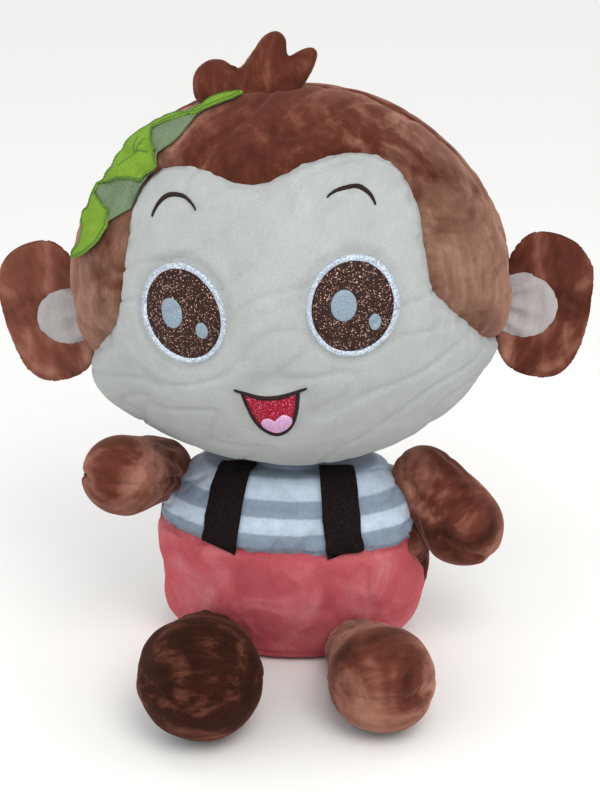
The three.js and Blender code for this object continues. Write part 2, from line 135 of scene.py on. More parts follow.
class Shader:
    """A Principled material with short helpers for wiring it."""

    def __init__(self, name, **sockets):
        self.material = bpy.data.materials.new(name)
        self.material.use_nodes = True
        self.tree = self.material.node_tree
        self.principled = self.tree.nodes["Principled BSDF"]
        for socket, value in sockets.items():
            self.principled.inputs[socket.replace("_", " ")].default_value = value
        self.rest = self.node("ShaderNodeAttribute", attribute_name="rest").outputs["Vector"]

    def node(self, kind, inputs=None, **settings):
        made = self.tree.nodes.new(kind)
        for key, value in settings.items():
            setattr(made, key, value)
        for key, value in (inputs or {}).items():
            if isinstance(value, bpy.types.NodeSocket):
                self.tree.links.new(value, made.inputs[key])
            else:
                made.inputs[key].default_value = value
        return made

    def stretched(self, scale):
        return self.node("ShaderNodeMapping", {"Vector": self.rest, "Scale": scale}).outputs[0]

    def noise(self, scale, detail=3.0, roughness=0.6, distortion=0.0, vector=None):
        return self.node("ShaderNodeTexNoise", {
            "Vector": vector or self.rest, "Scale": scale, "Detail": detail, "Roughness": roughness,
            "Distortion": distortion,
        }).outputs["Fac"]

    def math(self, operation, a, b=0.0, c=0.0):
        return self.node("ShaderNodeMath", {0: a, 1: b, 2: c}, operation=operation).outputs[0]

    def ramp(self, factor, stops, interpolation="LINEAR"):
        made = self.node("ShaderNodeValToRGB", {"Fac": factor})
        made.color_ramp.interpolation = interpolation
        elements = made.color_ramp.elements
        while len(elements) < len(stops):
            elements.new(0.5)
        for element, (place, colour) in zip(elements, stops):
            element.position = place
            element.color = colour
        return made.outputs["Color"]

    def mix(self, factor, a, b, blend_type="MIX"):
        made = self.node("ShaderNodeMix", data_type="RGBA", blend_type=blend_type)
        for index, value in ((0, factor), (6, a), (7, b)):
            if isinstance(value, bpy.types.NodeSocket):
                self.tree.links.new(value, made.inputs[index])
            else:
                made.inputs[index].default_value = value
        return made.outputs[2]

    def colour(self, socket):
        self.tree.links.new(socket, self.principled.inputs["Base Color"])

    def bump(self, *layers):
        normal = None
        for height, strength, distance in layers:
            made = self.node("ShaderNodeBump", {"Height": height, "Strength": strength, "Distance": distance})
            if normal is not None:
                self.tree.links.new(normal, made.inputs["Normal"])
            normal = made.outputs["Normal"]
        self.tree.links.new(normal, self.principled.inputs["Normal"])


def grey(value):
    return [value, value, value, 1.0]


SIDE_START, SIDE_END = 52.0, 92.0     # where the painted sheen that makes the hair paler towards the sides begins and is full


def plush(name, dark, mid, light, patch=34.0, contrast=0.3, sheen=0.35, fuzz=0.35, ribs=0.0, share=0.4, tint=None,
          painted_sheen=None):
    """Short-pile velour: crushed nap in soft light and dark strokes, a fine fibre grain and a soft sheen.
    The optional last argument gives the dark, mid and light colours of a painted sheen, which makes the hair paler out
    towards the sides of the head."""
    s = Shader(name, Roughness=0.92, Sheen_Weight=sheen, Sheen_Roughness=0.4,
               Sheen_Tint=linear(tint or light), Specular_IOR_Level=0.12)
    broad = s.noise(patch, detail=3.0, roughness=0.55, distortion=0.8)
    strokes = s.noise(patch * 4.5, detail=4.0, roughness=0.65, distortion=0.4, vector=s.stretched((1.3, 1.3, 0.4)))
    nap = s.math("ADD", s.math("MULTIPLY", broad, 1 - share), s.math("MULTIPLY", strokes, share))
    colour = s.ramp(nap, [
        (0.5 - contrast, linear(dark)), (0.5, linear(mid)), (0.5 + contrast, linear(light)),
    ])
    # painted sheen: the hair is painted paler out towards the sides of the head, in place of the sheen velour shows at
    # grazing angles
    if painted_sheen:
        across = s.node("ShaderNodeSeparateXYZ", {"Vector": s.rest}).outputs["X"]
        drift = s.math("MULTIPLY", s.math("SUBTRACT", broad, 0.5), 0.18)
        out = s.math("ADD", s.math("ABSOLUTE", across), drift)
        reach = s.math("DIVIDE", s.math("SUBTRACT", out, SIDE_START * MM), (SIDE_END - SIDE_START) * MM)
        painted_sheen_colour = s.ramp(nap, [(0.5 - contrast, linear(painted_sheen[0])), (0.5, linear(painted_sheen[1])),
                               (0.5 + contrast, linear(painted_sheen[2]))])
        colour = s.mix(s.ramp(reach, [(0.0, grey(0.0)), (1.0, grey(1.0))]), colour, painted_sheen_colour)
    fibre = s.noise(1500.0, detail=2.0, roughness=0.7)
    grain = s.ramp(fibre, [(0.25, grey(0.84)), (0.75, grey(1.12))])
    s.colour(s.mix(1.0, colour, grain, "MULTIPLY"))
    layers = [(strokes, fuzz * 0.4, 0.0012), (fibre, fuzz, 0.0006)]
    if ribs:
        across = s.node("ShaderNodeSeparateXYZ", {"Vector": s.rest}).outputs["X"]
        layers.insert(0, (s.math("SINE", s.math("MULTIPLY", across, 3600.0)), ribs, 0.0004))
    s.bump(*layers)
    return s.material


def jersey(name):
    """Brushed jersey with level stripes in the cloth's own height."""
    s = Shader(name, Roughness=0.95, Sheen_Weight=0.3, Sheen_Roughness=0.5, Sheen_Tint=linear("DDE6EE"),
               Specular_IOR_Level=0.1)
    height = s.math("MAXIMUM", s.node("ShaderNodeSeparateXYZ", {"Vector": s.rest}).outputs["Z"], STRIPE_ORIGIN * MM)
    edge = s.math("MULTIPLY", s.math("SUBTRACT", s.noise(500.0, detail=2.0), 0.5), 0.0011)
    band = s.math("PINGPONG", s.math("ADD", s.math("SUBTRACT", height, STRIPE_ORIGIN * MM), edge), STRIPE * MM)
    bands = s.ramp(s.math("DIVIDE", band, STRIPE * MM), [
        (0.0, linear("8291A2")), (0.44, linear("8A98A9")), (0.56, linear("B8C8DA")), (1.0, linear("C2D2E3")),
    ])
    weave = s.noise(1700.0, detail=2.0, roughness=0.7)
    wear = s.ramp(s.noise(120.0, detail=3.0), [(0.3, grey(0.9)), (0.7, grey(1.08))])
    grain = s.ramp(weave, [(0.25, grey(0.8)), (0.75, grey(1.15))])
    s.colour(s.mix(1.0, s.mix(1.0, bands, grain, "MULTIPLY"), wear, "MULTIPLY"))
    s.bump((weave, 0.5, 0.0006))
    return s.material


def felt(name, dark, mid, light, fleck=900.0):
    s = Shader(name, Roughness=0.95, Sheen_Weight=0.15, Sheen_Roughness=0.6, Sheen_Tint=linear(light),
               Specular_IOR_Level=0.1)
    fibres = s.noise(fleck, detail=4.0, roughness=0.75, distortion=0.6)
    cloud = s.noise(110.0, detail=3.0)
    colour = s.ramp(fibres, [(0.3, linear(dark)), (0.55, linear(mid)), (0.78, linear(light))])
    shade = s.ramp(cloud, [(0.3, grey(0.88)), (0.7, grey(1.1))])
    s.colour(s.mix(1.0, colour, shade, "MULTIPLY"))
    s.bump((fibres, 0.6, 0.0005))
    return s.material


def thread(name, dark, light, roughness=0.38, specular=0.5, twist=1100.0):
    """Rayon embroidery thread: smooth and lustrous, its ridges are in the mesh."""
    s = Shader(name, Roughness=roughness, Sheen_Weight=0.25, Sheen_Roughness=0.3, Sheen_Tint=linear(light),
               Specular_IOR_Level=specular)
    strands = s.noise(twist, detail=3.0, roughness=0.7)
    s.colour(s.ramp(strands, [(0.3, linear(dark)), (0.62, linear(light))]))
    s.bump((strands, 0.3, 0.0003))
    return s.material


def glitter(name, base, flake_dark, flake_light, share=0.12, size=1500.0):
    """Fine sequin cloth: a dark ground with bright flakes, each turned its own way."""
    s = Shader(name, Roughness=0.45, Specular_IOR_Level=0.2)
    cells = s.node("ShaderNodeTexVoronoi", {"Vector": s.rest, "Scale": size, "Randomness": 1.0}, feature="F1")
    pick = s.node("ShaderNodeSeparateXYZ", {"Vector": cells.outputs["Color"]})
    bright = s.math("GREATER_THAN", pick.outputs["X"], 1.0 - share)
    tint = s.mix(pick.outputs["Y"], linear(flake_dark), linear(flake_light))
    ground = s.ramp(s.noise(600.0, detail=3.0), [(0.3, linear(base[0])), (0.7, linear(base[1]))])
    s.colour(s.mix(bright, ground, tint))
    s.tree.links.new(s.math("MULTIPLY", bright, 0.8), s.principled.inputs["Metallic"])
    s.bump((cells.outputs["Distance"], 0.5, 0.0004))
    return s.material


MATERIAL = {
    # the hair's paler side colours are painted sheen
    "brown": plush("brown_plush", "32140C", "582B1F", "8E5B4A", patch=28.0, contrast=0.24, sheen=0.85,
                   tint="C09080", painted_sheen=("54372E", "775545", "A37F70")),
    "brown_crushed": plush("crushed_brown_plush", "290E07", "5F3125", "A1705F", patch=25.0, contrast=0.17, sheen=0.75,
                           share=0.22, tint="C09080"),
    # a lighter copy of the crushed brown plush: painted light on the front of the toy's right ear
    "brown_painted_light": plush("brown_plush_painted_light", "40201A", "764638", "AC7E6E", patch=25.0, contrast=0.2, sheen=0.75,
                           share=0.22, tint="C09080"),
    # a darker copy of the brown plush: painted shade on the toy's right leg and foot
    "brown_painted_shade": plush("brown_plush_painted_shade", "150602", "32160D", "7A4738", patch=32.0, contrast=0.2,
                        sheen=0.3),
    "cream": plush("cream_plush", "9DA19F", "A7ABAA", "B1B5B4", patch=20.0, sheen=0.2, fuzz=0.2),
    "grey": plush("grey_plush", "969090", "A7A2A2", "B8B2AF", patch=60.0, sheen=0.2, fuzz=0.25),
    "coral": plush("coral_plush", "A03F48", "B8565D", "CC8082", patch=34.0, contrast=0.32, sheen=0.4, ribs=0.1,
                   share=0.12),
    "jersey": jersey("striped_jersey"),
    "brace": felt("brace_felt", "100B0C", "1A1314", "3A3032"),
    "leaf": felt("leaf_felt", "658A2A", "759732", "8AAB44"),
    "leaf_back": felt("leaf_backing_felt", "57684F", "6E7F62", "8A9A7E"),
    "leaf_stitch": thread("leaf_stitch_thread", "335C10", "4D7A1B", roughness=0.6),
    "rim": thread("rim_thread", "5E6D82", "DCE8F4", roughness=0.3),
    "glint": thread("glint_thread", "667786", "8D9FAE"),
    "outline": thread("outline_thread", "0B0606", "30211F", roughness=0.6, specular=0.2),
    "tongue": thread("tongue_thread", "94608A", "E9BCE2"),
    "iris": glitter("iris_sequin", ("1D0C08", "381B13"), "7C4331", "F0CDBB", share=0.085, size=2500.0),
    "mouth": glitter("mouth_sequin", ("7A0018", "A6082C"), "CE2450", "F48CAA", share=0.17, size=2300.0),
}


# ---- mesh helpers ----
def ball(level):
    """A unit icosphere with the layers that every sewn body carries."""
    bm = bmesh.new()
    bmesh.ops.create_icosphere(bm, subdivisions=level, radius=1.0)
    bm.verts.layers.float.new("seam")
    bm.verts.layers.float_vector.new("rest")
    bm.verts.layers.float_vector.new("out")
    bm.faces.layers.int.new("panel")
    return bm


def halved(level):
    """The unit ball with a seam round its equator, y = 0, every vertex at the same radius, and its unit points."""
    bm = ball(level)
    cut(bm, coordinates(bm)[:, 1])
    unit = coordinates(bm)
    return bm, unit / np.linalg.norm(unit, axis=1, keepdims=True)


def coordinates(bm):
    return np.array([v.co[:] for v in bm.verts])


def place(bm, points):
    for vertex, point in zip(bm.verts, points):
        vertex.co = point


def set_rest(bm, scale=MM):
    layer = bm.verts.layers.float_vector["rest"]
    for vertex in bm.verts:
        vertex[layer] = vertex.co * scale


def cloth_points(bm):
    """Every vertex where it lay in the flat-sewn body, in metres."""
    layer = bm.verts.layers.float_vector["rest"]
    return np.array([v[layer][:] for v in bm.verts])


def cut(bm, values, inside=None):
    """Splits the surface where values cross zero and marks the line as a seam."""
    seam = bm.verts.layers.float["seam"]
    bm.verts.ensure_lookup_table()
    side = {v: float(values[i]) for i, v in enumerate(bm.verts)}
    allowed = {v: inside is None or bool(inside[i]) for i, v in enumerate(bm.verts)}

    def crosses(edge):
        a, b = edge.verts
        return allowed[a] and allowed[b] and side[a] * side[b] < 0

    for edge in list(bm.edges):
        if not crosses(edge):
            continue
        a, b = edge.verts
        t = side[a] / (side[a] - side[b])
        near = a if t < 0.2 else b if t > 0.8 else None
        if near is not None and near[seam] == 0:
            near.co = a.co.lerp(b.co, t)
            side[near] = 0.0
    for edge in [e for e in bm.edges if crosses(e)]:
        a, b = edge.verts
        t = side[a] / (side[a] - side[b])
        _, fresh = bmesh.utils.edge_split(edge, a, t)
        side[fresh] = 0.0
        allowed[fresh] = True
    for face in list(bm.faces):
        on_line = [v for v in face.verts if side[v] == 0 and allowed[v]]
        signs = {side[v] > 0 for v in face.verts if side[v] != 0}
        if len(on_line) == 2 and len(signs) == 2:
            try:
                bmesh.utils.face_split(face, on_line[0], on_line[1])
            except ValueError:
                pass
    for vertex in bm.verts:
        if side[vertex] == 0 and allowed[vertex]:
            vertex[seam] = 1.0
    bmesh.ops.triangulate(bm, faces=[f for f in bm.faces if len(f.verts) > 3])


def name_panels(bm, which):
    """which(centres) gives each face's panel number."""
    layer = bm.faces.layers.int["panel"]
    numbers = which(np.array([f.calc_center_median()[:] for f in bm.faces]))
    for face, number in zip(bm.faces, numbers):
        face[layer] = int(number)


def to_object(bm, name):
    mesh = bpy.data.meshes.new(name)
    bm.to_mesh(mesh)
    made = bpy.data.objects.new(name, mesh)
    bpy.context.scene.collection.objects.link(made)
    return made


def evaluated(obj):
    """obj's mesh with its modifiers applied, as a new bmesh, and obj removed."""
    graph = bpy.context.evaluated_depsgraph_get()
    bm = bmesh.new()
    bm.from_mesh(obj.evaluated_get(graph).to_mesh())
    mesh = obj.data
    bpy.data.objects.remove(obj)
    bpy.data.meshes.remove(mesh)
    return bm


def smoothed(bm, levels=1):
    obj = to_object(bm, "smoothing")
    bm.free()
    modifier = obj.modifiers.new("Subdivision", "SUBSURF")
    modifier.levels = levels
    return evaluated(obj)


CLOTH_FRAMES = 16


def stuff(bm, kind, pins):
    """Blows the closed skin up like a stuffed one: the seams pull short and the cloth puckers near them."""
    seam = bm.verts.layers.float["seam"]
    start = coordinates(bm)
    obj = to_object(bm, "stuffing_skin")
    tight = obj.vertex_groups.new(name="tight")
    held = obj.vertex_groups.new(name="held")
    for i, vertex in enumerate(bm.verts):
        tight.add([i], min(1.0, vertex[seam]), "REPLACE")
        if pins[i] > 0:
            held.add([i], float(pins[i]), "REPLACE")
    modifier = obj.modifiers.new("Cloth", "CLOTH")
    settings = modifier.settings
    settings.quality = 5
    settings.mass = 0.1
    settings.tension_stiffness = 10
    settings.compression_stiffness = 6
    settings.shear_stiffness = 4
    settings.bending_stiffness = 0.05
    settings.use_pressure = True
    settings.uniform_pressure_force = STUFFING[kind]["pressure"]
    settings.effector_weights.gravity = 0
    settings.vertex_group_shrink = "tight"
    settings.shrink_min = 0.0
    settings.shrink_max = STUFFING[kind]["shrink"]
    settings.vertex_group_mass = "held"
    settings.pin_stiffness = 1.0
    modifier.point_cache.frame_start = 1
    modifier.point_cache.frame_end = CLOTH_FRAMES
    scene = bpy.context.scene
    for step in range(1, CLOTH_FRAMES + 1):
        scene.frame_set(step)
    graph = bpy.context.evaluated_depsgraph_get()
    mesh = obj.evaluated_get(graph).to_mesh()
    moved = np.empty(len(mesh.vertices) * 3)
    mesh.vertices.foreach_get("co", moved)
    change = moved.reshape(-1, 3) - start
    length = np.linalg.norm(change, axis=1, keepdims=True)
    change *= np.minimum(1.0, STUFFING[kind]["cap"] * MM / np.maximum(length, 1e-9))
    place(bm, start + change)
    data = obj.data
    bpy.data.objects.remove(obj)
    bpy.data.meshes.remove(data)
    scene.frame_set(1)


def fit(bm, low, high):
    """Scales the stuffed body on each axis back to the size that it was cut for, given in millimetres."""
    points = coordinates(bm)
    small, big = points.min(axis=0), points.max(axis=0)
    place(bm, (points - small) / (big - small) * (high - low) * MM + low * MM)


def relax(bm, rounds):
    """Evens out small kinks in thin pieces."""
    for _ in range(rounds):
        bmesh.ops.smooth_vert(bm, verts=bm.verts, factor=0.5, use_axis_x=True, use_axis_y=True, use_axis_z=True)


def normals(bm):
    bm.normal_update()
    return np.array([v.normal[:] for v in bm.verts])


def push(bm, change):
    """Moves every vertex out along its normal by change millimetres."""
    place(bm, coordinates(bm) + normals(bm) * (change * MM)[:, None])


def seam_distance(bm):
    """Distance in metres from every vertex to the nearest seam, and the seam point nearest to it."""
    seam = bm.verts.layers.float["seam"]
    points = [v.co.copy() for v in bm.verts if v[seam] > 0.9]
    tree = KDTree(len(points))
    for i, point in enumerate(points):
        tree.insert(point, i)
    tree.balance()
    found = [tree.find(v.co) for v in bm.verts]
    return np.array([f[2] for f in found]), np.array([f[0][:] for f in found])


def field(points, scale, seed=0.0):
    """Smooth noise from -1 to 1 at each point."""
    offset = Vector((seed, seed * 1.7, -seed))
    return np.array([noise.noise(Vector(p) * scale + offset) for p in points])


def ridges(points, scale, stretch=(1, 1, 1), seed=0.0):
    """Fold lines from 0 to 1: sharp along the zero line of a stretched noise."""
    values = field(np.asarray(points) * np.array(stretch), scale, seed)
    return np.exp(-(values / 0.09) ** 2)


def sew(bm, depth=1.6, width=2.6, pucker=0.5, pitch=7.0):
    """Presses a groove along each seam, with small gathers that fade away from it."""
    distance, nearest = seam_distance(bm)
    distance = distance / MM
    waves = field(nearest, 1 / (pitch * MM), 3.1)
    groove = -depth * np.exp(-(distance / width) ** 2)
    gathers = pucker * waves * np.exp(-(distance / (4 * width)) ** 2) * (1 - np.exp(-(distance / width) ** 2))
    push(bm, groove + gathers)


def panels(bm, plan, bind, thickness=1.0, tuck=1.4):
    """Cuts the sewn body into its panels. plan lists each panel's node, its fabric and any core nodes it stands for."""
    out = bm.verts.layers.float_vector["out"]
    bm.normal_update()
    for vertex in bm.verts:
        vertex[out] = vertex.normal
    for index, (name, fabric, cores) in enumerate(plan):
        part = bm.copy()
        layer = part.faces.layers.int["panel"]
        bmesh.ops.delete(part, geom=[f for f in part.faces if f[layer] != index], context="FACES")
        if tuck:
            turn_edges(part, tuck)
        obj = to_object(part, name + "_fabric")
        part.free()
        solid = obj.modifiers.new("Thickness", "SOLIDIFY")
        solid.thickness = thickness * MM
        solid.offset = -1
        dress(obj, fabric)
        bind(obj)
        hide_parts(name, *cores)


def rides(body):
    return lambda obj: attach(obj, body)


def blends(a, b, start, end):
    return lambda obj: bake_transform(obj, a, b, tuple(start), tuple(end))


def turn_edges(part, tuck):
    """Turns the cut edge of a panel in along the sewn body's own normals, which both panels at the seam share."""
    out = part.verts.layers.float_vector["out"]
    rim = [e for e in part.edges if e.is_boundary]
    turned = bmesh.ops.extrude_edge_only(part, edges=rim)["geom"]
    fresh = {v for v in turned if isinstance(v, bmesh.types.BMVert)}
    for vertex in fresh:
        neighbours = [e.other_vert(vertex) for e in vertex.link_edges]
        parent = next(n for n in neighbours if n not in fresh)
        vertex.co = parent.co - parent[out] * (tuck * MM)


def dress(obj, fabric):
    """Gives the piece its material and smooth shading."""
    obj.data.materials.clear()
    obj.data.materials.append(MATERIAL[fabric])
    for polygon in obj.data.polygons:
        polygon.use_smooth = True


# ---- outlines ----
def bezier(points, steps=10):
    """Points along a quadratic or cubic Bezier, without its last point."""
    points = np.array(points, float)
    made = []
    for t in np.linspace(0, 1, steps, endpoint=False):
        level = points
        while len(level) > 1:
            level = level[:-1] * (1 - t) + level[1:] * t
        made.append(level[0])
    return made


def smooth_loop(points, steps=10, closed=True):
    """A Catmull-Rom curve through the points."""
    points = np.array(points, float)
    count = len(points)
    made = []
    for i in range(count if closed else count - 1):
        if closed:
            a, b, c, d = (points[(i + k - 1) % count] for k in range(4))
        else:
            a, b, c, d = (points[min(max(i + k - 1, 0), count - 1)] for k in range(4))
        for t in np.linspace(0, 1, steps, endpoint=False):
            made.append(0.5 * (2 * b + (c - a) * t + (2 * a - 5 * b + 4 * c - d) * t ** 2
                               + (3 * b - a - 3 * c + d) * t ** 3))
    return np.array(made)


def face_outline():
    """Two rounded lobes over the eyes with a dip between them, straight temples, wide cheeks and the whole jaw."""
    jaw, cheek_right, cheek_left = 140, (-98, -19), (110, -26)
    temple_right, temple_left = (-79, 36), (80, 43)
    lobe_right, dip, lobe_left = (-45, 77.5), (-9, 70.5), (42, 81.5)
    curves = [
        [(-jaw, -130), (-jaw, -66)], [(-jaw, -66), cheek_right],
        [cheek_right, (-84, -8), (-79, 10), temple_right], [temple_right, (-78, 77), lobe_right],
        [lobe_right, (-30, 77.5), (-25, 70.5), dip], [dip, (4, 70.5), (14, 81.5), lobe_left],
        [lobe_left, (62, 81.5), (77, 66), temple_left], [temple_left, (84, 12)],
        [(84, 12), (87, 2), (104, -12), cheek_left], [cheek_left, (jaw, -66)], [(jaw, -66), (jaw, -130)],
    ]
    return np.array([point for curve in curves for point in bezier(curve, 14)])


def outline_distance(points, outline):
    """Signed distance of 2D points to a closed outline, positive inside."""
    start, end = outline, np.roll(outline, -1, axis=0)
    best = np.full(len(points), 1e9)
    crossings = np.zeros(len(points), int)
    for a, b in zip(start, end):
        along = b - a
        t = np.clip(((points - a) @ along) / max(along @ along, 1e-12), 0, 1)
        best = np.minimum(best, np.linalg.norm(points - a - t[:, None] * along, axis=1))
        above = (a[1] > points[:, 1]) != (b[1] > points[:, 1])
        with np.errstate(divide="ignore", invalid="ignore"):
            x = a[0] + (points[:, 1] - a[1]) / (b[1] - a[1]) * (b[0] - a[0])
        crossings += above & (points[:, 0] < x)
    return np.where(crossings % 2 == 1, best, -best)


# ---- head ----
def head_shape(unit):
    """Head surface in head millimetres for unit directions: fuller cheeks, a slumped right cheek, a flatter crown."""
    points = unit * HEAD_HALF
    low = np.clip(-unit[:, 2], 0, 1)
    points[:, 0] *= 1 + 0.035 * np.sin(np.pi * low) * np.abs(unit[:, 0])
    points[:, 0] *= 1 - 0.03 * np.clip(unit[:, 2], 0, 1) ** 2
    slump = np.exp(-((unit[:, 0] + 0.86) / 0.22) ** 2 - ((unit[:, 2] + 0.62) / 0.2) ** 2 - (unit[:, 1] / 0.6) ** 2)
    points += np.outer(slump, (-11, -3, -3))
    return points


def build_head():
    bm = ball(6)
    place(bm, head_shape(coordinates(bm)))
    points = coordinates(bm)
    cut(bm, points[:, 1] - HEAD_SEAM_Y)
    points = coordinates(bm)
    cut(bm, outline_distance(points[:, [0, 2]], face_outline()), points[:, 1] <= HEAD_SEAM_Y + 0.01)
    points = coordinates(bm)
    cut(bm, points[:, 0], points[:, 1] >= HEAD_SEAM_Y - 0.01)
    outline = face_outline()

    def which(centres):
        face = outline_distance(centres[:, [0, 2]], outline) > 0
        front = centres[:, 1] < HEAD_SEAM_Y
        return np.where(front, np.where(face, 0, 1), np.where(centres[:, 0] > 0, 2, 3))

    name_panels(bm, which)
    points = coordinates(bm)
    set_rest(bm)
    eyes = [np.hypot((points[:, 0] - x) / 28, (points[:, 2] - z) / 31) for x, z, _, _, _ in EYES.values()]
    mouth = np.hypot(points[:, 0] / 22, (points[:, 2] + 50) / 20)
    near = np.minimum(np.minimum(*eyes), mouth)
    pins = np.where(points[:, 1] < 0, np.clip(1.6 - near, 0, 1), 0)
    place(bm, points * MM * 0.985)
    stuff(bm, "head", pins)
    bm = smoothed(bm)
    fit(bm, points.min(axis=0), points.max(axis=0))
    sew(bm, depth=1.8, width=2.6, pucker=0.8, pitch=9)
    wrinkle_face(bm)
    return bm


CREASE_TURN = np.array(Matrix.Rotation(math.radians(24), 3, "Y"))


def wrinkle_face(bm):
    """The embroidery pulls the cloth in round it, and long soft creases run over the cheeks."""
    points = cloth_points(bm) / MM
    front = points[:, 1] < -20
    change = np.zeros(len(points))
    for x, z, half_width, half_height, _ in EYES.values():
        ring = np.hypot((points[:, 0] - x) / half_width, (points[:, 2] - z) / half_height)
        change -= np.where(front, 1.6 * np.exp(-((ring - 1.06) / 0.1) ** 2), 0)
        puff = np.clip((points[:, 2] - z) / 30, -0.3, 1)
        change += np.where(front, 1.6 * puff * np.exp(-((ring - 1.3) / 0.13) ** 2), 0)
    mouth = np.hypot(points[:, 0] / 19, (points[:, 2] + 49) / 19)
    change -= np.where(front, 2.2 * np.exp(-((mouth - 0.9) / 0.35) ** 2), 0)
    for x, z in BROWS.values():
        brow = np.hypot((points[:, 0] - x) / 15, (points[:, 2] - z + 3) / 6)
        change -= np.where(front, 0.9 * np.exp(-((brow - 0.6) / 0.5) ** 2), 0)
    diagonal = points @ CREASE_TURN.T
    creases = ridges(diagonal * MM, 24, (0.8, 0.6, 2.4), 5.0) * 1.3
    creases += ridges(points * MM, 34, (2.0, 0.7, 1.0), 9.0) * 0.4
    change += np.where(front, 0.7 * field(points * MM, 22, 14.0), 0)
    change -= creases * np.clip((20 - points[:, 1]) / 40, 0.35, 1)
    push(bm, change)


head = build_head()
head_tree = BVHTree.FromBMesh(head)
head_world = head.copy()
head_world.transform(HEAD_PLACE)
panels(head_world, [
    ("face_panel", "cream", ["head_stuffing"]), ("hair_front_panel", "brown", []),
    ("head_back_left", "brown", []), ("head_back_right", "brown", []),
], rides("head"))


# ---- embroidery: thread and sequin cloth laid over a surface ----
def cast(tree, origin, direction, fallback):
    """Where a ray first meets the surface, and the normal there, or the nearest place to fallback if it misses."""
    spot, normal, _, _ = tree.ray_cast(origin, direction)
    if spot is None:
        spot, normal, _, _ = tree.find_nearest(fallback)
    return spot[:], normal[:]


def on_head(points):
    """Head points in metres, and their outward normals, in front of each (x, z) in millimetres."""
    found = []
    for x, z in points:
        ahead, inside = Vector((x * MM, -0.3, z * MM)), Vector((x * MM, 0, z * MM))
        found.append(cast(head_tree, ahead, Vector((0, 1, 0)), inside))
    return np.array([f[0] for f in found]), np.array([f[1] for f in found])


def closed_grid(points, rests, name, wrap):
    """A mesh from a rows x columns x 3 grid whose columns wrap round; its rows wrap too, or are capped."""
    rows, columns, _ = points.shape
    bm = bmesh.new()
    layer = bm.verts.layers.float_vector.new("rest")
    verts = [[bm.verts.new(points[r, c]) for c in range(columns)] for r in range(rows)]
    for r in range(rows):
        for c in range(columns):
            verts[r][c][layer] = rests[r, c]
    for r in range(rows if wrap else rows - 1):
        for c in range(columns):
            ring, following = verts[r], verts[(r + 1) % rows]
            bm.faces.new((ring[c], ring[(c + 1) % columns], following[(c + 1) % columns], following[c]))
    if not wrap:
        bm.faces.new(verts[0][::-1])
        bm.faces.new(verts[-1])
    bmesh.ops.recalc_face_normals(bm, faces=bm.faces)
    obj = to_object(bm, name)
    bm.free()
    return obj


def resample(path, spacing, closed):
    path = np.asarray(path, float)
    if closed:
        path = np.vstack([path, path[:1]])
    steps = np.linalg.norm(np.diff(path, axis=0), axis=1)
    along = np.concatenate([[0], np.cumsum(steps)])
    count = max(4, int(round(along[-1] / spacing)))
    at = np.linspace(0, along[-1], count + 1)[:count if closed else count + 1]
    return np.stack([np.interp(at, along, path[:, i]) for i in range(path.shape[1])], axis=1), at, along[-1]


PROFILE = np.array([(-1.0, 0.0), (-0.86, 0.5), (-0.5, 0.88), (0.0, 1.0), (0.5, 0.88), (0.86, 0.5), (1.0, 0.0),
                    (0.6, -0.9), (-0.6, -0.9)])


def stroke(name, path, width, surface, height=1.2, pitch=0.8, closed=False, ragged=0.12, slant=0.0, lean=0.0):
    """A satin-stitched line: threads lie side by side across the path. width may follow the way along, 0 to 1."""
    centre, at, total = resample(path, pitch / 4, closed)
    ahead = np.roll(centre, -1, axis=0) - np.roll(centre, 1, axis=0)
    if not closed:
        ahead[0], ahead[-1] = centre[1] - centre[0], centre[-1] - centre[-2]
    ahead /= np.linalg.norm(ahead, axis=1, keepdims=True)
    across = np.stack([-ahead[:, 1], ahead[:, 0]], axis=1)
    half = np.array([width(t) for t in at / total]) / 2 if callable(width) else np.full(len(at), width / 2)
    count = len(PROFILE)
    phase = (at / pitch)[:, None] + slant * PROFILE[None, :, 0]
    strand = np.abs(np.sin(np.pi * phase))
    number = np.floor(phase)
    jitter = np.sin(number * 12.9898) * 43758.5453
    jitter = jitter - np.floor(jitter)
    edge = 1 + ragged * (jitter - 0.5) * (np.abs(PROFILE[:, 0]) > 0.9)[None, :]
    flat = centre[:, None, :] + across[:, None, :] * (half[:, None] * PROFILE[None, :, 0] * edge)[:, :, None]
    tall = np.minimum(1.0, half / max(half.max() * 0.5, 1e-6))[:, None]
    crest = PROFILE[:, 1] * (1 - lean * PROFILE[:, 0])
    lift = np.where(PROFILE[:, 1] > 0, crest * height * tall * (0.62 + 0.38 * strand), PROFILE[:, 1])
    base, normal = surface(flat.reshape(-1, 2))
    points = base + normal * (lift.reshape(-1, 1) * MM)
    rests = np.concatenate([flat.reshape(-1, 2) * MM, lift.reshape(-1, 1) * MM], axis=1)
    shape = (len(at), count, 3)
    return closed_grid(points.reshape(shape), rests.reshape(shape), name, closed)


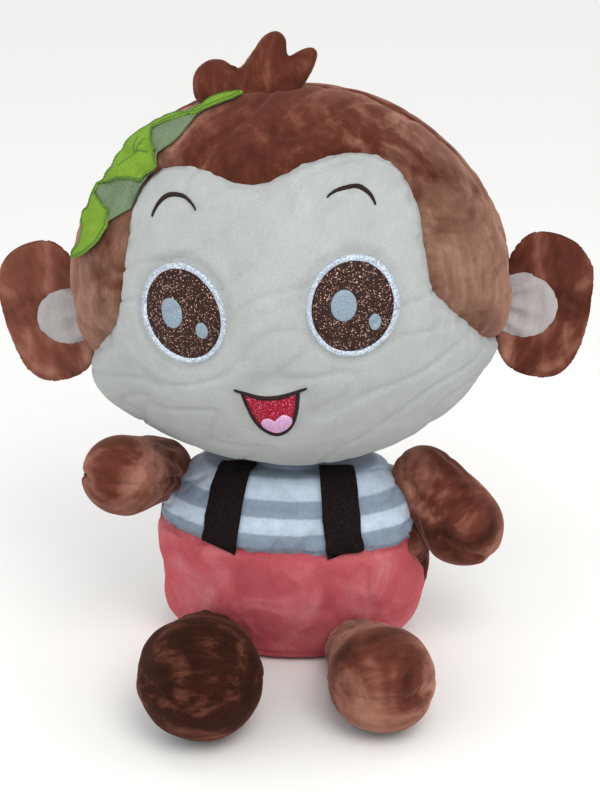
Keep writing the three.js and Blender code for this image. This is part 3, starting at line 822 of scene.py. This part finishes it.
def patch(name, outline, surface, height, crown=0.0, ridge=0.0, pitch=0.9, rings=14, middle=None):
    """A filled shape laid over a surface, with an optional crown and rows of thread; its underside closes it."""
    rim, _, _ = resample(outline, 0.8, True)
    centre = rim.mean(axis=0) if middle is None else np.array(middle)
    share = np.linspace(0, 1, rings + 1)[1:]
    flat = np.concatenate([centre + (rim - centre) * s for s in share])
    flat = np.vstack([centre[None], flat])
    level = np.concatenate([[0.0], np.repeat(share, len(rim))])
    rows = np.abs(np.sin(np.pi * flat[:, 1] / pitch)) if ridge else 0
    lift = height + crown * np.sqrt(np.clip(1 - level ** 2, 0, 1)) + ridge * rows * (level < 0.99)
    base, normal = surface(flat)
    top = base + normal * (lift[:, None] * MM)
    under = base - normal * (0.9 * MM)
    bm = bmesh.new()
    layer = bm.verts.layers.float_vector.new("rest")
    rests = np.concatenate([flat * MM, np.zeros((len(flat), 1))], axis=1)
    upper = [bm.verts.new(p) for p in top]
    lower = [bm.verts.new(p) for p in np.vstack([under[:1], under[-len(rim):]])]
    for vertex, value in zip(upper, rests):
        vertex[layer] = value
    for vertex, value in zip(lower, np.vstack([rests[:1], rests[-len(rim):]])):
        vertex[layer] = value
    size = len(rim)
    for i in range(size):
        j = (i + 1) % size
        bm.faces.new((upper[0], upper[1 + i], upper[1 + j]))
        for r in range(rings - 1):
            a, b = 1 + r * size, 1 + (r + 1) * size
            bm.faces.new((upper[a + i], upper[b + i], upper[b + j], upper[a + j]))
        last = 1 + (rings - 1) * size
        bm.faces.new((upper[last + i], lower[1 + i], lower[1 + j], upper[last + j]))
        bm.faces.new((lower[0], lower[1 + j], lower[1 + i]))
    bmesh.ops.recalc_face_normals(bm, faces=bm.faces)
    obj = to_object(bm, name)
    bm.free()
    return obj


def ellipse(x, z, half_width, half_height, tilt=0.0, count=96):
    angle = np.linspace(0, 2 * np.pi, count, endpoint=False)
    a, b = half_width * np.cos(angle), half_height * np.sin(angle)
    c, s = math.cos(tilt), math.sin(tilt)
    return np.stack([x + a * c - b * s, z + a * s + b * c], axis=1)


def embroider(obj, fabric, node):
    obj.matrix_world = HEAD_PLACE
    dress(obj, fabric)
    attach(obj, "head")
    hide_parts(node)


GLINTS = {
    "left": {"large": (-4.2, 1.6, 6.4, 8.0), "small": (10.6, -8.2, 3.0, 4.2)},
    "right": {"large": (-5.9, 0.6, 5.6, 7.9), "small": (9.8, -7.6, 3.2, 4.4)},
}


def build_eye(name):
    x, z, half_width, half_height, tilt = EYES[name]
    tilt = math.radians(tilt)
    middle = ellipse(x, z, half_width - EYE_RIM / 2, half_height - EYE_RIM / 2, tilt)
    rim = stroke(f"eye_rim_{name}_thread", middle, EYE_RIM, on_head, height=1.8, pitch=0.75, closed=True, slant=0.6,
                 lean=0.4)
    embroider(rim, "rim", f"eye_rim_{name}")
    inner = ellipse(x, z, half_width - EYE_RIM + 0.4, half_height - EYE_RIM + 0.4, tilt)
    iris = patch(f"eye_iris_{name}_cloth", inner, on_head, 0.35)
    embroider(iris, "iris", f"eye_iris_{name}")
    for size, (dx, dz, glint_width, glint_height) in GLINTS[name].items():
        shape = ellipse(x + dx, z + dz, glint_width, glint_height, tilt / 2, 48)
        glint = patch(f"eye_glint_{size}_{name}_thread", shape, on_head, 0.6, crown=0.7, ridge=0.22, pitch=0.75)
        embroider(glint, "glint", f"eye_glint_{size}_{name}")


BROW_ARC = 0.93      # how much of a quarter turn each half of a brow runs through


def build_brow(name):
    x, z = BROWS[name]
    t = np.linspace(-1, 1, 25)
    fall = {"left": (4.0, 9.2), "right": (10.7, 6.4)}[name]
    arc = (1 - np.sqrt(1 - (BROW_ARC * t) ** 2)) / (1 - math.sqrt(1 - BROW_ARC ** 2))
    path = np.stack([x + 11.9 * t, z - np.where(t < 0, fall[0], fall[1]) * arc], axis=1)
    brow = stroke(f"brow_{name}_thread", path, lambda s: 0.8 + 1.3 * math.sin(math.pi * s) ** 0.8, on_head, 1.2, 0.7)
    embroider(brow, "outline", f"brow_{name}")


def build_mouth():
    smile = bezier([(-20.5, -36.8), (-3, -47.2), (19, -35.2)], 24)
    lips = bezier([(-16.3, -39.6), (-13.4, -57), (-8.6, -66.3), (-1.6, -66.6)], 16)
    lips += bezier([(-1.6, -66.6), (5.6, -66), (11.2, -56), (12.3, -38.6)], 16)
    full = np.array(bezier([(-15.5, -39.4), (-2, -45.2), (12, -38.4)], 10)[::-1] + lips)
    embroider(patch("mouth_fill_cloth", full, on_head, 0.35, middle=(-1.5, -49)), "mouth", "mouth_fill")
    line = stroke("mouth_outline_thread", lips + [(12.4, -38.2)], 2.2, on_head, 1.3, 0.7)
    upper = stroke("mouth_smile", smile, lambda s: 0.9 + 1.6 * math.sin(math.pi * s) ** 0.7, on_head, 1.4, 0.7)
    merge(line, upper)
    embroider(line, "outline", "mouth_outline")
    heart = smooth_loop([(-2.4, -64.8), (2.6, -63.6), (7.6, -58.4), (7.9, -54.2), (4.2, -51.8), (0.4, -54.2),
                         (-0.9, -55.9), (-2.4, -54.9), (-5, -54.2), (-8.2, -56.6), (-7.6, -61.4)], 8)
    embroider(patch("tongue_satin", heart, on_head, 0.7, crown=0.7, ridge=0.2, pitch=0.75), "tongue", "tongue")


def merge(target, *others):
    """Joins plain mesh objects into the first one."""
    bm = bmesh.new()
    bm.from_mesh(target.data)
    for other in others:
        bm.from_mesh(other.data)
        data = other.data
        bpy.data.objects.remove(other)
        bpy.data.meshes.remove(data)
    bm.to_mesh(target.data)
    bm.free()


for name in ("left", "right"):
    build_eye(name)
    build_brow(name)
build_mouth()


# ---- torso ----
def torso_shape(unit):
    z = unit[:, 2]
    power = np.where(z > 0, 3.0, 2.2)
    spread = np.hypot(unit[:, 0], unit[:, 1])
    full = (1 - np.abs(z) ** power) ** (1 / power)
    widen = np.where(spread > 1e-6, full / np.maximum(spread, 1e-6), 0) * (1 - 0.05 * z)
    points = np.stack([unit[:, 0] * widen, unit[:, 1] * widen, z], axis=1) * TORSO_HALF + TORSO_CENTRE
    points[:, 0] += 6 * np.exp(-((points[:, 2] - 42) / 18) ** 2) * np.clip(-unit[:, 0], 0, 1)
    return points


def waist(points):
    """Height of the waist seam: level, but higher on the toy's right."""
    return WAIST_Z + 4.5 * np.clip((-points[:, 0] - 28) / 45, 0, 1)


def side_seam(points):
    """The shirt and shorts lie in front of the side seams; the left one swings forward at the hip, and both run
    back over the shoulders, so that the collar goes round the neck."""
    swing = 19 * np.exp(-((points[:, 2] - 66) / 15) ** 2) * (points[:, 0] > 0)
    collar = 24 * np.clip((points[:, 2] - 94) / 8, 0, 1)
    return points[:, 1] - SIDE_SEAM_Y + swing - collar


def build_torso():
    bm = ball(6)
    place(bm, torso_shape(coordinates(bm)))
    points = coordinates(bm)
    cut(bm, points[:, 2] - SEAT_Z)
    points = coordinates(bm)
    above = points[:, 2] >= SEAT_Z - 0.01
    cut(bm, side_seam(points), above)
    points = coordinates(bm)
    cut(bm, points[:, 2] - waist(points), side_seam(points) <= 0.6)
    points = coordinates(bm)
    cut(bm, points[:, 0], (side_seam(points) >= -0.01) & (points[:, 2] >= SEAT_Z - 0.01))

    def which(centres):
        back = np.where(centres[:, 0] > 0, 2, 3)
        front = np.where(centres[:, 2] > waist(centres), 0, 1)
        upright = np.where(side_seam(centres) < 0, front, back)
        return np.where(centres[:, 2] < SEAT_Z, 4, upright)

    name_panels(bm, which)
    set_rest(bm)
    points = coordinates(bm)
    points[:, 2] = 0.5 * (points[:, 2] + np.sqrt(points[:, 2] ** 2 + 12))
    points[:, 2] = np.minimum(points[:, 2], 111)
    place(bm, points * MM)
    low, high = points[:, 2] < 6, points[:, 2] > 108
    stuff(bm, "torso", np.where(low | high, 1.0, 0.0))
    bm = smoothed(bm)
    fit(bm, points.min(axis=0), points.max(axis=0))
    sew(bm, depth=1.6, width=2.4, pucker=0.7, pitch=8)
    points = cloth_points(bm)
    creases = ridges(points, 26, (1.6, 1.0, 0.8), 21.0)
    crumple = field(points, 40, 4.0)
    keep = np.clip(points[:, 2] / (20 * MM), 0, 1)
    by_arms = np.clip((np.abs(points[:, 0]) / MM - 34) / 24, 0, 1) * np.clip((points[:, 2] / MM - 66) / 14, 0, 1)
    pulls = ridges(points, 44, (0.8, 1.0, 1.6), 27.0) * by_arms
    change = (-0.6 * creases + 0.7 * crumple - 1.5 * pulls) * keep
    push(bm, change)
    settle(bm)
    return bm


def settle(bm, floor=0.3):
    for vertex in bm.verts:
        vertex.co.z = max(vertex.co.z, floor * MM)


torso = build_torso()
torso_tree = BVHTree.FromBMesh(torso)
panels(torso, [
    ("shirt_front", "jersey", ["body_stuffing"]), ("shorts_front", "coral", []),
    ("back_left", "brown_crushed", []), ("back_right", "brown_crushed", []), ("seat_panel", "coral", []),
], rides("torso"))


def on_torso(points):
    """Torso points and normals in front of each (x, z); above SHOULDER_Z the height turns back over the shoulder."""
    found = []
    for x, z in points:
        turn = max(0.0, z - SHOULDER_Z) / SHOULDER_TURN
        out = Vector((0, -math.cos(turn), math.sin(turn)))
        centre = Vector((x, SHOULDER_Y, min(z, SHOULDER_Z))) * MM
        found.append(cast(torso_tree, centre + out * 0.1, -out, centre + out * 0.04))
    return np.array([f[0] for f in found]), np.array([f[1] for f in found])


def ribbon(name, grid, surface, lift, thickness):
    """A strip of felt over a surface from a rows x columns x 2 pattern, closed all round."""
    rows, columns, _ = grid.shape
    base, normal = surface(grid.reshape(-1, 2))
    raised = lift(grid.reshape(-1, 2)) if callable(lift) else lift
    raised = np.broadcast_to(np.asarray(raised, float), (rows * columns,))[:, None]
    under = (base + normal * (raised * MM)).reshape(rows, columns, 3)
    over = (base + normal * ((raised + thickness) * MM)).reshape(rows, columns, 3)
    loop = np.concatenate([over, under[:, ::-1]], axis=1)
    flat = np.concatenate([grid, grid[:, ::-1]], axis=1) * MM
    rests = np.concatenate([flat, np.zeros(flat.shape[:2] + (1,))], axis=2)
    return closed_grid(loop, rests, name, False)


def build_brace(name, side):
    rows, columns = 60, 12
    z = np.linspace(BRACE_TOP, WAIST_Z - 1.0, rows)
    share = (BRACE_TOP - z) / (BRACE_TOP - WAIST_Z)
    middle = side * (BRACE_X + BRACE_SPLAY * share)
    across = np.linspace(-1, 1, columns) * BRACE_WIDTH / 2
    across = np.repeat(across[None, :], rows, 0)
    grid = np.stack([middle[:, None] + across, np.repeat(z[:, None], columns, 1)], axis=2)
    grid[:, :, 1] += side * across * BRACE_SLANT * share[:, None]

    def lift(points):
        wave = np.array([noise.noise(Vector((p[0] * 0.06, p[1] * 0.08, side))) for p in points])
        return 0.5 + 0.6 * np.abs(wave)

    brace = ribbon(f"brace_{name}_strap", grid, on_torso, lift, BRACE_THICKNESS)
    dress(brace, "brace")
    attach(brace, "torso")
    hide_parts(f"brace_{name}")


build_brace("left", 1)
build_brace("right", -1)


def build_neck():
    """The stuffed neck between the collar and the head, hidden under the chin."""
    bm = ball(4)
    points = coordinates(bm) * (21, 21, 13) + (0, -7, 108)
    place(bm, points * MM)
    set_rest(bm, 1.0)
    obj = to_object(bm, "neck_fabric")
    dress(obj, "jersey")
    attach(obj, "neck")
    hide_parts("neck_stuffing")


build_neck()


# ---- arms and legs ----
def limb_matrix(limb):
    aim = Vector(limb["aim"]).normalized()
    side = aim.cross(Vector((0, 0, 1))).normalized()
    up = side.cross(aim)
    turn = Matrix((up, aim, up.cross(aim))).transposed().to_4x4()
    return Matrix.Translation(Vector(limb["pivot"]) * MM) @ turn


def limb_profile(root, end, length, count=64):
    """Radius and height along a limb: a rounded root, a cone and a rounded end, by share of the way along it."""
    lean = math.asin((end - root) / length)
    near = np.linspace(-math.pi / 2, -lean, count)
    far = np.linspace(-lean, math.pi / 2, count)
    radius = np.concatenate([root * np.cos(near), end * np.cos(far)])
    height = np.concatenate([root * np.sin(near), length + end * np.sin(far)])
    steps = np.hypot(np.diff(radius), np.diff(height))
    share = np.concatenate([[0], np.cumsum(steps)])
    return share / share[-1], radius, height


def build_limb(name, limb, seed):
    share, radius, height = limb_profile(limb["root"], limb["end"], limb["length"])
    bm = ball(5)
    unit = coordinates(bm)
    at = (np.arcsin(np.clip(unit[:, 1], -1, 1)) + math.pi / 2) / math.pi
    spread = np.maximum(np.hypot(unit[:, 0], unit[:, 2]), 1e-9)
    r, y = np.interp(at, share, radius), np.interp(at, share, height)
    points = np.stack([unit[:, 0] / spread * r, y, unit[:, 2] / spread * r], axis=1)
    place(bm, points)
    cut(bm, coordinates(bm)[:, 0])
    name_panels(bm, lambda centres: np.where(centres[:, 0] > 0, 0, 1))
    set_rest(bm)
    points = coordinates(bm)
    place(bm, points * MM * (0.985, 0.99, 0.985))
    pins = np.clip((6 - points[:, 1]) / 10, 0, 1)
    stuff(bm, "limb", pins)
    bm = smoothed(bm)
    fit(bm, points.min(axis=0), points.max(axis=0))
    leg = name.startswith("leg")
    sew(bm, depth=0.3 if leg else 0.8, width=1.9, pucker=0.2 if leg else 0.6, pitch=6)
    cloth = cloth_points(bm)
    root_pull = np.exp(-((cloth[:, 1] / MM - limb["root"] * 0.4) / 9) ** 2)
    angle = np.arctan2(cloth[:, 0], cloth[:, 2])
    gathers = 0.9 * root_pull * np.sin(angle * 11 + seed * 2)
    lumps = 0.9 * field(cloth, 42, seed) - 0.5 * ridges(cloth, 24, (1, 1, 1), seed)
    push(bm, gathers + lumps)
    matrix = limb_matrix(limb)
    bm.transform(matrix)
    slide = np.array(limb["root_shift"], float) * MM
    away = 1 - np.clip(cloth[:, 1] / MM / limb["length"], 0, 1)
    place(bm, coordinates(bm) + away[:, None] * slide)
    settle(bm)
    start = matrix @ Vector((0, -4 * MM, 0))
    end = matrix @ Vector((0, 16 * MM, 0))
    # the toy's right leg wears the darker copy of the plush: painted shade
    pile = "brown_painted_shade" if name == "leg_right" else "brown_crushed"
    panels(bm, [(f"{name}_upper", pile, [f"{name}_stuffing"]), (f"{name}_under", pile, [])],
           blends("torso", name, start, end), tuck=0.6 if leg else 1.0)


for number, (name, limb) in enumerate(LIMBS.items()):
    build_limb(name, limb, 3.0 + number)


# ---- ears ----
def build_ear(name, side):
    bm, unit = halved(5)
    spread = np.hypot(unit[:, 0], unit[:, 2])
    round_ = np.maximum(spread, 1e-9)
    square = ((np.abs(unit[:, 0]) / round_) ** 2.4 + (np.abs(unit[:, 2]) / round_) ** 2.4) ** (-1 / 2.4)
    x = EAR_MIDDLE + EAR_HALF_WIDTH * unit[:, 0] * square
    x = np.where(x < 0, x * 0.85, x)
    pinch = 0.45 + 0.55 * np.clip(x / 16, 0, 1)
    y = EAR_DEPTH * unit[:, 1] * (0.62 + 0.5 * spread ** 2) * pinch
    z = EAR_HALF_HEIGHT * unit[:, 2] * square * (1 - 0.05 * unit[:, 0] * unit[:, 2])
    place(bm, np.stack([x, y, z], axis=1))
    points = coordinates(bm)
    low, half_height = EAR_PATCH_HEIGHTS[side]

    def from_patch(places):
        return np.hypot((places[:, 0] - EAR_PATCH_X) / EAR_PATCH_HALF_WIDTH, (places[:, 2] - low) / half_height)

    cut(bm, 1 - from_patch(points), points[:, 1] < -0.01)

    def which(centres):
        return np.where(centres[:, 1] > 0, 1, np.where(from_patch(centres) < 1, 2, 0))

    name_panels(bm, which)
    set_rest(bm)
    points = coordinates(bm)
    place(bm, points * MM)
    stuff(bm, "ear", np.clip((6 - points[:, 0]) / 6, 0, 1))
    bm = smoothed(bm)
    relax(bm, 5)
    sew(bm, depth=0.6, width=1.8, pucker=0.3, pitch=6)
    cloth = cloth_points(bm) / MM
    fan = np.arctan2(cloth[:, 2] + 2, cloth[:, 0] + 22)
    from_middle = np.hypot((cloth[:, 0] - EAR_MIDDLE) / EAR_HALF_WIDTH, cloth[:, 2] / EAR_HALF_HEIGHT)
    inland = np.clip(1 - from_middle ** 2, 0, 1)
    uneven = field(cloth * MM, 30, 3.0 + side)
    gathers = 1.6 * np.sin(fan * 13 + 2.5 * uneven) * np.exp(-np.clip(cloth[:, 0], 0, 99) / 11) * np.sqrt(inland)
    lumps = 0.7 * field(cloth * MM, 38, 11 + side) - 0.6 * ridges(cloth * MM, 18, (1, 1, 1), 2.0 * side)
    lumps *= np.clip(inland * 5, 0, 1)
    push(bm, lumps)
    cup = coordinates(bm)
    cup[:, 1] += gathers * MM
    cup[:, 1] -= 0.004 * (np.hypot((cup[:, 0] - 0.004) / 0.034, cup[:, 2] / 0.043)) ** 2
    cup[:, 0] *= side
    place(bm, cup)
    if side < 0:
        bmesh.ops.reverse_faces(bm, faces=bm.faces)
    matrix = HEAD_PLACE @ Matrix.Translation(Vector((side * EAR_HINGE[0], EAR_HINGE[1], EAR_HINGE[2])) * MM)
    matrix = matrix @ Matrix.Rotation(side * EAR_TILT, 4, "Y")
    bm.transform(matrix)
    start, end = (matrix @ Vector((x * side * MM, 0, 0)) for x in (-2, 12))
    # the front of the toy's right ear wears the lighter copy of the plush: painted light
    front_pile = "brown_crushed" if side > 0 else "brown_painted_light"
    panels(bm, [
        (f"ear_front_{name}", front_pile, [f"ear_wadding_{name}"]), (f"ear_back_{name}", "brown_crushed", []),
        (f"ear_inner_{name}", "grey", []),
    ], blends("head", f"ear_{name}", start, end), thickness=0.5, tuck=0)


build_ear("left", 1)
build_ear("right", -1)


# ---- tuft ----
def tuft_outline():
    """Three rounded lobes fanning out of one root, all leaning to the toy's left."""
    points = [
        (-29, -6), (-32.5, 3), (-30.5, 11.5), (-23, 17), (-14, 16.5), (-8.5, 12), (-4.5, 15), (-0.5, 22), (5, 29.5),
        (12, 32.5), (17, 28.5), (17.6, 22), (18.5, 19), (22.5, 21.5), (27, 24), (31.5, 24.5), (34, 21.5), (33.5, 17),
        (31, 10), (26, 2), (18, -6), (0, -9), (-15, -9),
    ]
    return smooth_loop(points)


TUFT_CORE = (2.0, 0.0)


def build_tuft():
    outline = tuft_outline()
    spoke = outline - TUFT_CORE
    angle = np.arctan2(spoke[:, 1], spoke[:, 0])
    order = np.argsort(angle)
    angle, reach = angle[order], np.hypot(spoke[:, 0], spoke[:, 1])[order]
    bm, unit = halved(6)
    name_panels(bm, lambda centres: np.where(centres[:, 1] > 0, 1, 0))
    turn = np.arctan2(unit[:, 2], unit[:, 0])
    share = 1 - np.arcsin(np.clip(np.abs(unit[:, 1]), 0, 1)) / (math.pi / 2)
    radius = np.interp(turn, angle, reach, period=2 * math.pi) * share
    x, z = TUFT_CORE[0] + radius * np.cos(turn), TUFT_CORE[1] + radius * np.sin(turn)
    depth = np.clip(outline_distance(np.stack([x, z], axis=1), outline), 0, None)
    thick = 7.6 * (1 - np.exp(-depth / 4.2))
    edge = np.abs(unit[:, 1]) < 1e-6
    y = np.where(edge, 0, np.sign(unit[:, 1]) * thick)
    place(bm, np.stack([x, y, z], axis=1))
    set_rest(bm)
    place(bm, coordinates(bm) * MM)
    stuff(bm, "tuft", np.clip(-z / 5, 0, 1))
    bm = smoothed(bm)
    relax(bm, 6)
    sew(bm, depth=0.3, width=1.2, pucker=0.15, pitch=5)
    cloth = cloth_points(bm)
    inland = np.clip(outline_distance(cloth[:, [0, 2]] / MM, outline) / 3, 0, 1)
    change = (0.7 * field(cloth, 60, 31) - 0.5 * ridges(cloth, 35, (1, 1, 1), 8)) * inland
    push(bm, change)
    matrix = HEAD_PLACE @ Matrix.Translation(Vector(TUFT_ROOT) * MM) @ Matrix.Rotation(HEAD_ROLL, 4, "Y")
    matrix = matrix @ Matrix.Rotation(math.radians(-10), 4, "X")
    bm.transform(matrix)
    bind = blends("head", "tuft", matrix @ Vector((0, 0, -3 * MM)), matrix @ Vector((0, 0, 10 * MM)))
    panels(bm, [("tuft_front", "brown", ["tuft_wadding"]), ("tuft_back", "brown", [])], bind, thickness=0.5,
           tuck=0)


build_tuft()


# ---- leaf: lime felt over a grey-green backing, in lobes down the side of the crown ----
LEAF_LENGTH = 140.0
LEAF_SPINE = [(-17, -22, 106), (-56, -30, 93), (-84, -36, 71), (-100, -42, 44), (-113, -31, 21)]
# lobes of the felt's edge: where each starts, where it is widest, where it ends, and how far it reaches there
FRONT_NOTCH, BACK_NOTCH = -12, -2     # how far the cuts between the lobes come back from the spine
LEAF_FRONT = [(-25, 15, 53, 2.5), (52, 66, 91, 19.5), (97, 109, 152, 15)]
LINING_FRONT = [(-25, 15, 60, 2), (16, 50, 75, 11.5), (36, 84, 126, 21.5), (97, 109, 152, 14.5)]
LEAF_BACK = [(-3, 12, 36, 7.5), (28, 60, 90, 19.5), (70, 98, 122, 14.5), (100, 117, 122.5, 15.5), (128, 140, 160, 0.5)]


def lobed(lobes, notch):
    """Distance of a felt edge from the spine at each length along it: rounded lobes with sharp cuts between them."""
    def edge(at):
        reach = [np.full(np.shape(at), float(notch))]
        for start, widest, end, out in lobes:
            away = np.where(at < widest, (widest - at) / (widest - start), (at - widest) / (end - widest))
            reach.append(notch + (out - notch) * np.clip(1 - away ** 2, 0, 1))
        return np.max(reach, axis=0)
    return edge


front_edge, lining_edge = lobed(LEAF_FRONT, FRONT_NOTCH), lobed(LINING_FRONT, FRONT_NOTCH)
back_edge = lobed(LEAF_BACK, BACK_NOTCH)


def smooth_curve(points, count):
    made = np.vstack([smooth_loop(points, 20, closed=False), points[-1]])
    along = np.concatenate([[0], np.cumsum(np.linalg.norm(np.diff(made, axis=0), axis=1))])
    at = np.linspace(0, along[-1], count)
    return np.stack([np.interp(at, along, made[:, i]) for i in range(3)], axis=1)


SPINE = smooth_curve(LEAF_SPINE, 200)


def leaf_lift(a, b, over):
    """Height of the felt over the head: low by the stem, raised a little at its edges, middle and tip."""
    front, back = np.clip(b / 24, 0, 1.2), np.clip(-b / 24, 0, 1.2)
    spread = np.clip(a / 50, 0, 1)
    wave = 0.5 * np.sin(a / 9.5 + b / 9) * spread
    middle = 1.2 * np.exp(-((a - 72) / 15) ** 2) * over
    tip = 1.5 * np.clip((a - 122) / 20, 0, 1) ** 2
    return 0.9 + wave + (2.0 * front ** 2 + 0.4 * back ** 2) * spread + middle + tip


def leaf_surface(extra, over=1.0):
    """Leaf pattern points (along, across) to places and normals in head metres, extra millimetres above the felt."""
    def surface(points):
        spots, ups = [], []
        for a, b in points:
            t = np.clip(a / LEAF_LENGTH, 0, 1) * (len(SPINE) - 1)
            i = min(int(t), len(SPINE) - 2)
            base = SPINE[i] + (SPINE[i + 1] - SPINE[i]) * (t - i)
            across = np.cross(SPINE[i + 1] - SPINE[i], base / HEAD_HALF ** 2)
            across /= np.linalg.norm(across)
            spot = base - across * (b * np.sign(across[1]))
            spot /= np.linalg.norm(spot / HEAD_HALF)
            up = Vector(spot / HEAD_HALF ** 2).normalized()
            spot = Vector(spot * MM)
            under, _, _, _ = head_tree.ray_cast(spot + up * (30 * MM), -up)
            spots.append(((under or spot) + up * ((leaf_lift(a, b, over) + extra) * MM))[:])
            ups.append(up[:])
        return np.array(spots), np.array(ups)
    return surface


def leaf_grid(front, back, rows, columns, inset=0.0):
    a = np.linspace(0, LEAF_LENGTH, rows)
    share = np.linspace(0, 1, columns)
    b = (inset - back(a))[:, None] + share[None, :] * (front(a) + back(a) - 2 * inset)[:, None]
    return np.stack([np.repeat(a[:, None], columns, 1), b], axis=2)


def pattern_size(front, back):
    """Width and area of the felt pattern laid flat, in millimetres."""
    a = np.linspace(0, LEAF_LENGTH, 400)
    return float(front(a).max() + back(a).max()), float(np.mean(front(a) + back(a)) * LEAF_LENGTH)


def build_leaf():
    parts = [("leaf_top", "leaf", front_edge, 1.0, 1.0, 0.0), ("leaf_backing", "leaf_back", lining_edge, 0.0, 0.4, 0.3)]
    for name, fabric, front, extra, over, inset in parts:
        grid = leaf_grid(front, back_edge, 180, 41, inset)
        sheet = ribbon(f"{name}_felt", grid, leaf_surface(extra, over), 0.0, 1.0)
        width, area = pattern_size(front, back_edge)
        sheet.matrix_world = HEAD_PLACE
        dress(sheet, fabric)
        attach(sheet, "leaf")
        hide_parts(name)
    top = leaf_surface(2.0)
    a = np.linspace(1, LEAF_LENGTH - 3, 260)
    stitches = []
    for edge, sign in ((front_edge, 1), (back_edge, -1)):
        zigzag = (edge(a) - 1.2 + 0.6 * np.sin(a * 3.6)) * sign
        stitches.append(stroke("edging", np.stack([a, zigzag], axis=1), 1.0, top, 0.5, 1.4))
    vein = np.stack([np.linspace(58, 78, 30), 2 * np.sin(np.linspace(0, 3, 30)) - 2], axis=1)
    stitches.append(stroke("vein", vein, 1.0, top, 0.5, 1.4))
    for sign in (1, -1):
        branch = np.array([(61, sign * 7 - 2), (67, -1)], float)
        stitches.append(stroke("branch", branch, 1.0, top, 0.5, 1.4))
    stitching = stitches[0]
    merge(stitching, *stitches[1:])
    stitching.name = "leaf_stitching"
    stitching.matrix_world = HEAD_PLACE
    dress(stitching, "leaf_stitch")
    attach(stitching, "leaf")


build_leaf()


# ---- lights and floor ----
def area_light(name, azimuth, elevation, distance, size, power, colour=(1, 1, 1)):
    data = bpy.data.lights.new(name, "AREA")
    data.size = size
    data.energy = power
    data.color = colour
    obj = bpy.data.objects.new(name, data)
    azimuth, elevation = math.radians(azimuth), math.radians(elevation)
    direction = Vector((
        math.sin(azimuth) * math.cos(elevation), -math.cos(azimuth) * math.cos(elevation), math.sin(elevation),
    ))
    target = Vector((0, -0.02, 0.15))
    obj.location = target + direction * distance
    obj.rotation_euler = (-direction).to_track_quat("-Z", "Y").to_euler()
    bpy.context.scene.collection.objects.link(obj)


def make_stage():
    mesh = bpy.data.meshes.new("floor")
    half = 4.0
    mesh.from_pydata([(-half, -half, 0), (half, -half, 0), (half, half, 0), (-half, half, 0)], [], [(0, 1, 2, 3)])
    floor = bpy.data.objects.new("floor", mesh)
    bpy.context.scene.collection.objects.link(floor)
    floor.location.z = -0.0005
    s = Shader("floor_paper", Roughness=0.9, Specular_IOR_Level=0.1)
    s.principled.inputs["Base Color"].default_value = linear("F4F4F2")
    mesh.materials.append(s.material)
    world = bpy.data.worlds.new("studio")
    world.use_nodes = True
    background = world.node_tree.nodes["Background"]
    background.inputs["Color"].default_value = (1, 1, 1, 1)
    background.inputs["Strength"].default_value = 0.95
    bpy.context.scene.world = world
    area_light("key", 25, 48, 1.5, 0.8, 10, (1.0, 0.98, 0.96))
    area_light("fill", -45, 25, 1.6, 1.2, 2.5, (0.94, 0.97, 1.0))
    bpy.context.scene.view_settings.view_transform = "Standard"


make_stage()
